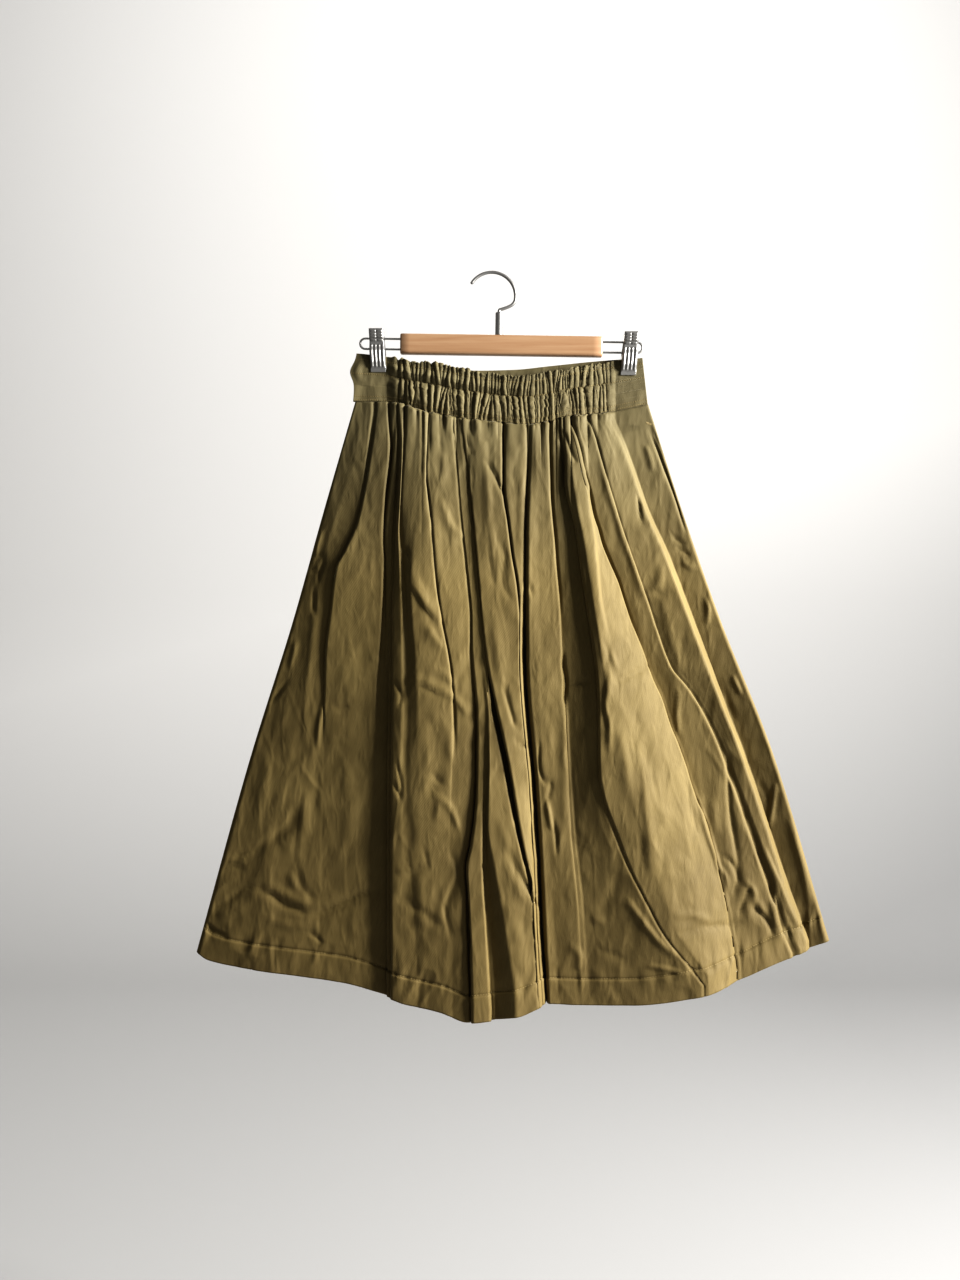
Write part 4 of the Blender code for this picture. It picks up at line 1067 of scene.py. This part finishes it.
def sweep_material():
    """Matt pale paint with painted shade: greyer below and towards the right."""
    mat, tree, shader = new_material("pale_sweep_painted_shade")
    place = add_node(tree, "ShaderNodeTexCoord").outputs["Object"]
    parts = add_node(tree, "ShaderNodeSeparateXYZ", Vector=place).outputs
    # Painted shade: the colour darkens below and towards the right.
    aslant = add_scaled(tree, "ShaderNodeMath", parts["X"], -0.3, parts["Z"])
    share = add_node(tree, "ShaderNodeMapRange", Value=aslant, From_Min=-1.75, From_Max=-0.1)
    colour = add_ramp(tree, share.outputs["Result"], (0, (0.27, 0.269, 0.267)), (1, (0.53, 0.525, 0.516)))
    set_sockets(tree, shader, {"Base Color": colour, "Roughness": 0.9})
    return mat


# ------------------------------------------------------------------------------------- stitches

def stitch_tree(thread):
    """Geometry Nodes that lay short stitches, a pitch apart, along the lines of a mesh."""
    tree = bpy.data.node_groups.new("stitching", "GeometryNodeTree")
    tree.interface.new_socket("Lines", in_out="INPUT", socket_type="NodeSocketGeometry")
    for name in ("Pitch", "Length Along", "Length Across", "Thread Radius"):
        tree.interface.new_socket(name, in_out="INPUT", socket_type="NodeSocketFloat")
    tree.interface.new_socket("Stitches", in_out="OUTPUT", socket_type="NodeSocketGeometry")
    given = add_node(tree, "NodeGroupInput").outputs
    curve = add_node(tree, "GeometryNodeMeshToCurve", Mesh=given["Lines"])
    even = add_node(tree, "GeometryNodeResampleCurve", {"mode": "LENGTH"}, Curve=curve.outputs["Curve"],
                    Length=given["Pitch"])
    along = add_node(tree, "GeometryNodeInputTangent")
    turn = add_node(tree, "FunctionNodeAlignRotationToVector", {"axis": "X"},
                    Vector=along.outputs["Tangent"])
    ball = add_node(tree, "GeometryNodeMeshUVSphere", Segments=6, Rings=4, Radius=1)
    size = add_node(tree, "ShaderNodeCombineXYZ", X=given["Length Along"], Y=given["Thread Radius"],
                    Z=given["Length Across"])
    stitch = add_node(tree, "GeometryNodeTransform", Geometry=ball.outputs["Mesh"],
                      Scale=size.outputs["Vector"])
    laid = add_node(tree, "GeometryNodeInstanceOnPoints", Points=even.outputs["Curve"],
                    Instance=stitch.outputs["Geometry"], Rotation=turn.outputs["Rotation"])
    real = add_node(tree, "GeometryNodeRealizeInstances", Geometry=laid.outputs["Instances"])
    finish = add_node(tree, "GeometryNodeSetMaterial", Geometry=real.outputs["Geometry"], Material=thread)
    add_node(tree, "NodeGroupOutput", Stitches=finish.outputs["Geometry"])
    return tree


def make_stitches(name, lines, tree, thread, pitch, along=None, across=THREAD_RADIUS):
    """Stitches along lines of points (x, y, z) in millimetres; along and across are half lengths."""
    along = along or STITCH_HALF_SHARE * pitch
    verts, edges = [], []
    for line in lines:
        edges += [(len(verts) + i, len(verts) + i + 1) for i in range(len(line) - 1)]
        verts += (np.asarray(line) * MM).tolist()
    guide_mesh = bpy.data.meshes.new(name + "_line")
    guide_mesh.from_pydata(verts, edges, [])
    guide = bpy.data.objects.new(name + "_line", guide_mesh)
    bpy.context.scene.collection.objects.link(guide)
    modifier = guide.modifiers.new("Stitching", "NODES")
    modifier.node_group = tree
    sizes = {"Pitch": pitch, "Length Along": along, "Length Across": across, "Thread Radius": THREAD_RADIUS}
    for socket in tree.interface.items_tree:
        if socket.name in sizes:
            modifier[socket.identifier] = sizes[socket.name] * MM
    evaluated = guide.evaluated_get(bpy.context.evaluated_depsgraph_get())
    mesh = bpy.data.meshes.new_from_object(evaluated)
    guide.modifiers.clear()
    bpy.data.objects.remove(guide)
    mesh.name = name
    mesh.shade_smooth()
    return new_piece(name, mesh, thread)


def seam_line(points, outward_y, row, wall):
    """A row of a cloth grid, on its outer face, a little short of both ends."""
    lift = wall / 2 + THREAD_RADIUS - STITCH_SINK
    return (points[row] + surface_normals(points, outward_y)[row] * lift)[2:-2]


# -------------------------------------------------------------------------------------- garment

def make_legs(mat, tree, thread):
    """The four leg panels, their hem stitches and the bar tack at the right pocket."""
    hem_lines = []
    for panel in LEG_PANELS:
        points, v = panel_surface(panel)
        relief, u = panel_relief(points, v, panel)
        normals = surface_normals(points, -panel.sign)
        points = points + normals * fade_at_seams(relief, v)[..., None]
        uv = np.stack([u, -points[..., 2]], axis=-1)
        piece = grid_object(f"panel_{panel.name}", points, uv, -panel.sign, CLOTH_WALL, mat)
        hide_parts(f"leg_{panel.name}")
        declare_sheet(points)
        hem_row = int(np.argmin(np.abs(v - HEM_SHARE)))
        hem_lines.append(seam_line(points, -panel.sign, hem_row, CLOTH_WALL))
    make_stitches("hem_stitches", hem_lines, tree, thread, HEM_STITCH_PITCH)
    make_stitches("pocket_bartack", [POCKET_BARTACK], tree, thread, BARTACK_PITCH, THREAD_RADIUS,
                  BARTACK_HALF_WIDTH)


def declare_sheet(points):
    """The cut of a cloth piece, worked out: as wide as its longest row, and as long as its columns on
    average; the sizes are not passed on.
    """
    across = np.linalg.norm(np.diff(points, axis=1), axis=2)
    along = np.linalg.norm(np.diff(points, axis=0), axis=2)
    width, length = across.sum(axis=1).max() * MM, along.sum(axis=0).mean() * MM
    width = round(width, 2) + 0.01
    length = round(length, 2) + 0.01


def band_base(x, bulge):
    """How far out the band's middle stands: flat in the clips, fuller between them."""
    t = (x - (GATHER_LEFT + GATHER_RIGHT) / 2) / ((GATHER_RIGHT - GATHER_LEFT) / 2)
    full = np.maximum(0.0, 1 - np.abs(t) ** 3)
    return BAND_CLIPPED_OUT + (bulge - BAND_CLIPPED_OUT) * full


def band_ends(t):
    """Where the band ends at left and right: its left end folds out a little above the middle."""
    left = BAND_LEFT_END[0] + t * (BAND_LEFT_END[1] - BAND_LEFT_END[0])
    right = BAND_RIGHT_END[0] + t * (BAND_RIGHT_END[1] - BAND_RIGHT_END[0])
    return left - BAND_END_BULGE * math.exp(-((t - 0.38) / 0.2) ** 2), right


def tent_share(x, share):
    """How far the lower channel's gathers give way to a smooth tent, and the tent's own height."""
    cover, height = np.zeros_like(x), np.zeros_like(x)
    for middle, width in TENTS:
        half = width / 2 * (0.12 + 0.88 * share)
        off = np.abs(x - middle) / half
        over = 1 - smoothstep(0.8, 1.05, off)
        cover = np.maximum(cover, over)
        height = np.where(over > 0, 1.1 - 0.9 * off ** 2, height)
    return cover * smoothstep(0.02, 0.2, share), height


def band_wave(x, t):
    """Both channels' gathers at share t of the way down the band."""
    upper = gather_wave(x, UPPER, np.clip((t - UPPER.top) / (UPPER.low - UPPER.top), 0, 1))
    share = np.clip((t - LOWER.top) / (LOWER.low - LOWER.top), 0, 1)
    warped = x + 0.9 * lumps(x, np.full_like(x, t * 50), 8, 9, 21)
    lower = gather_wave(warped, LOWER, share) + 0.45 * gather_wave(x, PLEATS, 1.0) * share
    cover, height = tent_share(x, share)
    lower = lower + cover * (height - lower)
    low = smoothstep(UPPER.low - 0.03, UPPER.low + 0.03, t)
    return upper + low * (lower - upper)


def band_front_surface(rows=66, columns=560):
    """The gathered band: two full channels, a pinch between them, a ruffled top and plainer ends."""
    s = np.linspace(0, 1, columns)
    points = []
    for t in np.linspace(0, 1, rows):
        left, right = band_ends(t)
        x = left + s * (right - left)
        level = np.full_like(x, t * 50)
        ease, wave = gathered(x), band_wave(x, t)
        full = smooth_curve(BAND_SHARES, BAND_FULL, t)
        strength = smooth_curve(BAND_SHARES, BAND_STRENGTH, t)
        near_top = 1 - smoothstep(0, RUFFLE_SHARE, t)
        near_pinch = math.exp(-((t - UPPER.low) / 0.07) ** 2)
        uneven = 1 + 0.4 * lumps(x, level, 22, 14, 34)
        out = band_base(x, BAND_BULGE) + ease * (CHANNEL_FULLNESS * full
                                                 + strength * uneven * GATHER_RELIEF * wave)
        slanted = lumps(x + 0.9 * level, level - 0.5 * x, 4.5, 12, 33)
        fine = (0.6 * near_pinch + 1.1 * near_top) * lumps(x, level, 2.6, 3, 31)
        out += ease * (SLANT_RELIEF * slanted + fine)
        out -= ease * math.exp(-((t - UPPER.low) / 0.02) ** 2)
        end_folds = END_FOLDS[0] + (END_FOLDS[1] - END_FOLDS[0]) * smoothstep(CLIPPED_SHARE, 0.75, t)
        soft = lumps(x + 0.25 * level, 0.3 * x + level, 13, 60, 41)
        out += (1 - ease) * end_folds * (0.6 + 0.6 * soft)
        lobe = math.sin(math.pi * min(max(t / 0.62, 0), 1)) * np.exp(-((x - left - 8) / 5) ** 2)
        out += LOBE_RELIEF * lobe
        rise = near_top * (0.9 * wave + 1.6 * lumps(x, np.zeros_like(x), 4.5, 1, 32))
        seam = seam_depth(x) - WAIST_GAP / 2
        top = edge_depth(BAND_TOP, x) - ease * rise
        points.append(np.stack([x, -np.maximum(out, BAND_CLIPPED_OUT), -(top + t * (seam - top))], axis=-1))
    return np.array(points)


def band_back_surface(rows=24, columns=160):
    """The plain band, slightly uneven."""
    s = np.linspace(0, 1, columns)
    points = []
    for t in np.linspace(0, 1, rows):
        left, right = band_ends(t)
        x = left + s * (right - left)
        out = band_base(x, BACK_BAND_BULGE) + 0.25 * lumps(x, np.full_like(x, t * 55), 30, 25, 5)
        top, seam = edge_depth(BACK_BAND_TOP, x), edge_depth(WAIST_SEAM, x) - WAIST_GAP / 2
        points.append(np.stack([x, np.maximum(out, BAND_CLIPPED_OUT), -(top + t * (seam - top))], axis=-1))
    return np.array(points)


def make_bands(mat, tree, thread):
    for name, points, outward in (("waistband_front", band_front_surface(), -1),
                                  ("waistband_back", band_back_surface(), 1)):
        uv = np.stack([way_along(points), -points[..., 2]], axis=-1)
        piece = grid_object(name.replace("waistband", "band"), points, uv, outward, BAND_WALL, mat)
        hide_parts(name)
        declare_sheet(points)
        shares = FRONT_BAND_ROWS if outward < 0 else BACK_BAND_ROWS
        last = len(points) - 1
        lines = [seam_line(points, outward, int(round(share * last)), BAND_WALL) for share in shares]
        make_stitches(name + "_stitches", lines, tree, thread, BAND_STITCH_PITCH)


# --------------------------------------------------------------------------------------- hanger

def bar_frame(along, below):
    """A point of the tilted bar, from its own middle, as (x, depth)."""
    tilt = math.radians(BAR_TILT)
    return (BAR_CENTRE[0] + along * math.cos(tilt) - below * math.sin(tilt),
            BAR_CENTRE[1] + along * math.sin(tilt) + below * math.cos(tilt))


def make_bar(mat):
    """The wooden bar: its section, eased above and chamfered below, carried along its length."""
    half_thick, half_high, half_long = BAR_THICK / 2, BAR_HEIGHT / 2, BAR_LENGTH / 2
    section = []
    for side, level, size, start in ((1, 1, BAR_CHAMFER, 0), (-1, 1, BAR_CHAMFER, 90),
                                     (-1, -1, BAR_EASE, 180), (1, -1, BAR_EASE, 270)):
        for i in range(7):
            angle = math.radians(start + 15 * i)
            section.append((side * (half_thick - size) + size * math.cos(angle),
                            level * (half_high - size) + size * math.sin(angle)))
    plain = half_long - BAR_ENDS[-1][0]
    stations = [(-half_long + off, inset) for off, inset in BAR_ENDS]
    stations += [(along, 0) for along in np.linspace(-plain, plain, 25)[1:-1]]
    stations += [(half_long - off, inset) for off, inset in BAR_ENDS[::-1]]
    points = []
    for along, inset in stations:
        for y, below in section:
            x, depth = bar_frame(along, below * (half_high - inset) / half_high)
            points.append((x, y * (half_thick - inset) / half_thick, -depth))
    bar = solid_object("wooden_bar", points, loft_faces(len(stations), len(section)), mat, sharp=50)
    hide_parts("hanger_bar")


def arc(centre, radius, start, end, steps):
    angles = [math.radians(start + (end - start) * i / steps) for i in range(steps + 1)]
    return [(centre[0] + radius * math.cos(a), centre[1] - radius * math.sin(a)) for a in angles]


def make_hook(mat):
    ring = arc(HOOK_CENTRE, HOOK_RADIUS, HOOK_TIP, HOOK_HEEL, 18)
    foot_x, foot_depth = bar_frame(FERRULE_ALONG_BAR, -BAR_HEIGHT / 2 - FERRULE_HEIGHT - SEAM_GAP)
    foot = [(foot_x + across, foot_depth + below) for across, below in NECK_FOOT]
    line = np.array([ring + list(NECK) + foot])
    smooth = rounded(line, [6] * (line.shape[1] - 1))[0]
    path = np.stack([smooth[:, 0], np.zeros(len(smooth)), -smooth[:, 1]], axis=-1)
    hook = tube_object("hook_wire", path, HOOK_WIRE / 2, mat)
    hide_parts("hook")


def make_ferrule(mat):
    """The sleeve that the hook's neck turns in: a turned profile, rounded at its top."""
    top = -BAR_HEIGHT / 2 - FERRULE_HEIGHT
    points = []
    for radius, below in FERRULE_PROFILE:
        for i in range(FERRULE_SIDES):
            angle = 2 * math.pi * i / FERRULE_SIDES
            x, depth = bar_frame(FERRULE_ALONG_BAR + radius * math.cos(angle), top + below)
            points.append((x, radius * math.sin(angle), -depth - SEAM_GAP / 2))
    faces = loft_faces(len(FERRULE_PROFILE), FERRULE_SIDES, capped=False)
    sleeve = solid_object("hook_sleeve", points, faces, mat, sharp=60, weld=True)
    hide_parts("hook_ferrule")


def make_rail(label, side, mat):
    """A wire loop that leaves the bar's end, turns and comes back."""
    radius = LOOP_PITCH / 2
    root = side * (BAR_LENGTH / 2 - RAIL_ROOT)
    turn = side * (BAR_LENGTH / 2 + SEAM_GAP + LOOP_REACH - radius)
    straight = np.linspace(root, turn, 13)[:-1]
    points = [(along, -radius) for along in straight]
    points += [(turn + side * radius * math.cos(a), radius * math.sin(a))
               for a in np.radians(np.linspace(-90, 90, 21))]
    points += [(along, radius) for along in straight[::-1]]
    path = [(x, 0, -depth) for x, depth in (bar_frame(*point) for point in points)]
    rail = tube_object(f"rail_wire_{label}", path, LOOP_WIRE / 2, mat)
    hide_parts(f"clip_rail_{label}")


def make_jaw(clip, side, mat):
    """A pressed-steel jaw: two columns of louvres above, upright ribs below, edges turned in."""
    length = JAW[-1][1]
    a, b = np.meshgrid(np.linspace(-1, 1, JAW_COLUMNS), np.linspace(0, length, JAW_ROWS))
    half = CLIP_WIDTH / 2 * (JAW_TOP_WIDTH + (1 - JAW_TOP_WIDTH) * smoothstep(12, 22, b))
    x = clip.top_x + (clip.bottom_x - clip.top_x) * b / length + a * half
    out = smooth_curve([p[1] for p in JAW], [p[0] for p in JAW], b)
    for row in range(LOUVRE_ROWS):
        middle = LOUVRE_TOP + row * LOUVRE_PITCH
        for column in (-LOUVRE_ACROSS, LOUVRE_ACROSS):
            along = np.clip(1 - ((a - column) / LOUVRE_HALF_WIDTH) ** 4, 0, 1) ** 0.5
            out = out + LOUVRE_RISE * along * np.exp(-((b - middle) / LOUVRE_HALF_HEIGHT) ** 2)
    ribs = 0.5 - 0.5 * np.cos(np.pi * RIBS * a)
    zone = smoothstep(RIB_TOP, RIB_TOP + 2, b) * (1 - smoothstep(RIB_BOTTOM - 2, RIB_BOTTOM, b))
    zone = zone * (1 - smoothstep(0.86, 0.93, np.abs(a)))
    out = out + RIB_RISE * zone * ribs ** 1.5
    out = out - JAW_EDGE_DROP * smoothstep(0.88, 1.0, np.abs(a)) * (1 - smoothstep(40, 46, b))
    depth = clip.top_depth + b
    points = np.stack([x, -side * out, -depth], axis=-1)
    uv = np.stack([x, depth], axis=-1)
    face = "front" if side > 0 else "back"
    jaw = grid_object(f"clip_plate_{face}_{clip.label}", points, uv, -side, JAW_WALL, mat)
    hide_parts(f"clip_jaw_{face}_{clip.label}")


def make_spring(clip, mat):
    """A close coil round the jaws' pivot."""
    middle = clip.top_x + (clip.bottom_x - clip.top_x) * PIVOT_BELOW / JAW[-1][1]
    pivot_z = -(clip.top_depth + PIVOT_BELOW)
    radius = SPRING_RADIUS - SPRING_WIRE
    steps = SPRING_TURNS * 20
    path = []
    for i in range(steps + 1):
        angle = 2 * math.pi * i / 20
        x = middle + (SPRING_LENGTH - 2 * SPRING_WIRE) * (i / steps - 0.5)
        path.append((x, radius * math.cos(angle), pivot_z + radius * math.sin(angle)))
    spring = tube_object(f"clip_coil_{clip.label}", path, SPRING_WIRE, mat, sides=8)
    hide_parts(f"clip_spring_{clip.label}")


def make_hanger(beech, steel):
    make_bar(beech)
    make_hook(steel)
    make_ferrule(steel)
    for side, label in ((-1, "left"), (1, "right")):
        make_rail(label, side, steel)
    for clip in CLIPS:
        for side in (1, -1):
            make_jaw(clip, side, steel)
        make_spring(clip, steel)


# ---------------------------------------------------------------------------------------- stage

# The sweep, in metres: its floor's height, how far behind its backdrop stands, the bend between
# them, its front edge, its top and its half width.
FLOOR_Z, BACKDROP_Y, SWEEP_BEND, SWEEP_FRONT, SWEEP_TOP, SWEEP_HALF = -1.45, 3.6, 1.2, -9.0, 6.0, 9.0
# The window, from the middle of the garment: its angle to the right of the viewer and its angle
# above, in degrees, and how far away it is, in metres.
GARMENT_MIDDLE = (0.0, 0.0, -0.42)
WINDOW_AZIMUTH, WINDOW_HEIGHT, WINDOW_DISTANCE = 71, 15, 3.0


def make_stage():
    """A pale floor that curves up into a backdrop far behind."""
    profile = [(SWEEP_FRONT, FLOOR_Z), (BACKDROP_Y - SWEEP_BEND, FLOOR_Z)]
    for i in range(1, 13):
        a = math.pi / 2 * i / 12
        profile.append((BACKDROP_Y - SWEEP_BEND * (1 - math.sin(a)),
                        FLOOR_Z + SWEEP_BEND * (1 - math.cos(a))))
    profile.append((BACKDROP_Y, SWEEP_TOP))
    verts = [(x, y, z) for y, z in profile for x in (-SWEEP_HALF, SWEEP_HALF)]
    faces = [(2 * i, 2 * i + 1, 2 * i + 3, 2 * i + 2) for i in range(len(profile) - 1)]
    mesh = bpy.data.meshes.new("pale_sweep")
    mesh.from_pydata(verts, [], faces)
    mesh.shade_smooth()
    mesh.materials.append(sweep_material())
    sweep = bpy.data.objects.new("pale_sweep", mesh)
    bpy.context.scene.collection.objects.link(sweep)


def area_light(name, place, target, size, power, colour):
    data = bpy.data.lights.new(name, "AREA")
    data.shape = "RECTANGLE"
    data.size, data.size_y = size
    data.energy = power
    data.color = colour
    obj = bpy.data.objects.new(name, data)
    obj.location = place
    obj.rotation_euler = (Vector(target) - Vector(place)).to_track_quat("-Z", "Y").to_euler()
    bpy.context.scene.collection.objects.link(obj)


def make_lights():
    middle = Vector(GARMENT_MIDDLE)
    azimuth, height = math.radians(WINDOW_AZIMUTH), math.radians(WINDOW_HEIGHT)
    key = middle + WINDOW_DISTANCE * Vector((math.sin(azimuth) * math.cos(height),
                                             -math.cos(azimuth) * math.cos(height), math.sin(height)))
    area_light("window", key, middle, (0.9, 1.1), 360, (1.0, 0.985, 0.965))
    area_light("backdrop_wash", (0.4, 1.4, 3.0), (0.35, 3.6, -1.0), (4.0, 0.6), 84, (1.0, 0.99, 0.975))


def make_world():
    """What the viewpoint and, more faintly, the steel see, and a faint blue fill for all else."""
    world = bpy.data.worlds.new("room")
    world.use_nodes = True
    tree = world.node_tree
    seen = tree.nodes["Background"]
    seen.inputs["Color"].default_value = (0.68, 0.665, 0.645, 1)
    fill = add_node(tree, "ShaderNodeBackground", Color=(0.85, 0.93, 1.0, 1), Strength=0.055)
    ray = add_node(tree, "ShaderNodeLightPath").outputs
    mix = add_node(tree, "ShaderNodeMixShader")
    share = add_scaled(tree, "ShaderNodeMath", ray["Is Glossy Ray"], 0.55, ray["Is Camera Ray"])
    for source, socket in ((share, 0), (fill.outputs["Background"], 1), (seen.outputs["Background"], 2)):
        tree.links.new(source, mix.inputs[socket])
    tree.links.new(mix.outputs["Shader"], tree.nodes["World Output"].inputs["Surface"])
    bpy.context.scene.world = world


def make_camera():
    data = bpy.data.cameras.new("viewpoint")
    data.sensor_fit = "VERTICAL"
    data.sensor_height = 36
    data.lens = 36 * VIEW_DISTANCE / FRAME_HEIGHT
    camera = bpy.data.objects.new("viewpoint", data)
    camera.location = (VIEW_X * MM, -VIEW_DISTANCE * MM, -VIEW_DEPTH * MM)
    camera.rotation_euler = (math.pi / 2, 0, 0)
    bpy.context.scene.collection.objects.link(camera)
    bpy.context.scene.camera = camera


def main():
    bpy.context.scene.view_settings.view_transform = "Standard"
    bpy.context.scene.view_settings.look = "High Contrast"
    drill, thread = drill_material(), thread_material()
    stitching = stitch_tree(thread)
    make_legs(drill, stitching, thread)
    make_bands(drill, stitching, thread)
    make_hanger(beech_material(), steel_material())
    make_stage()
    make_lights()
    make_world()
    make_camera()


main()
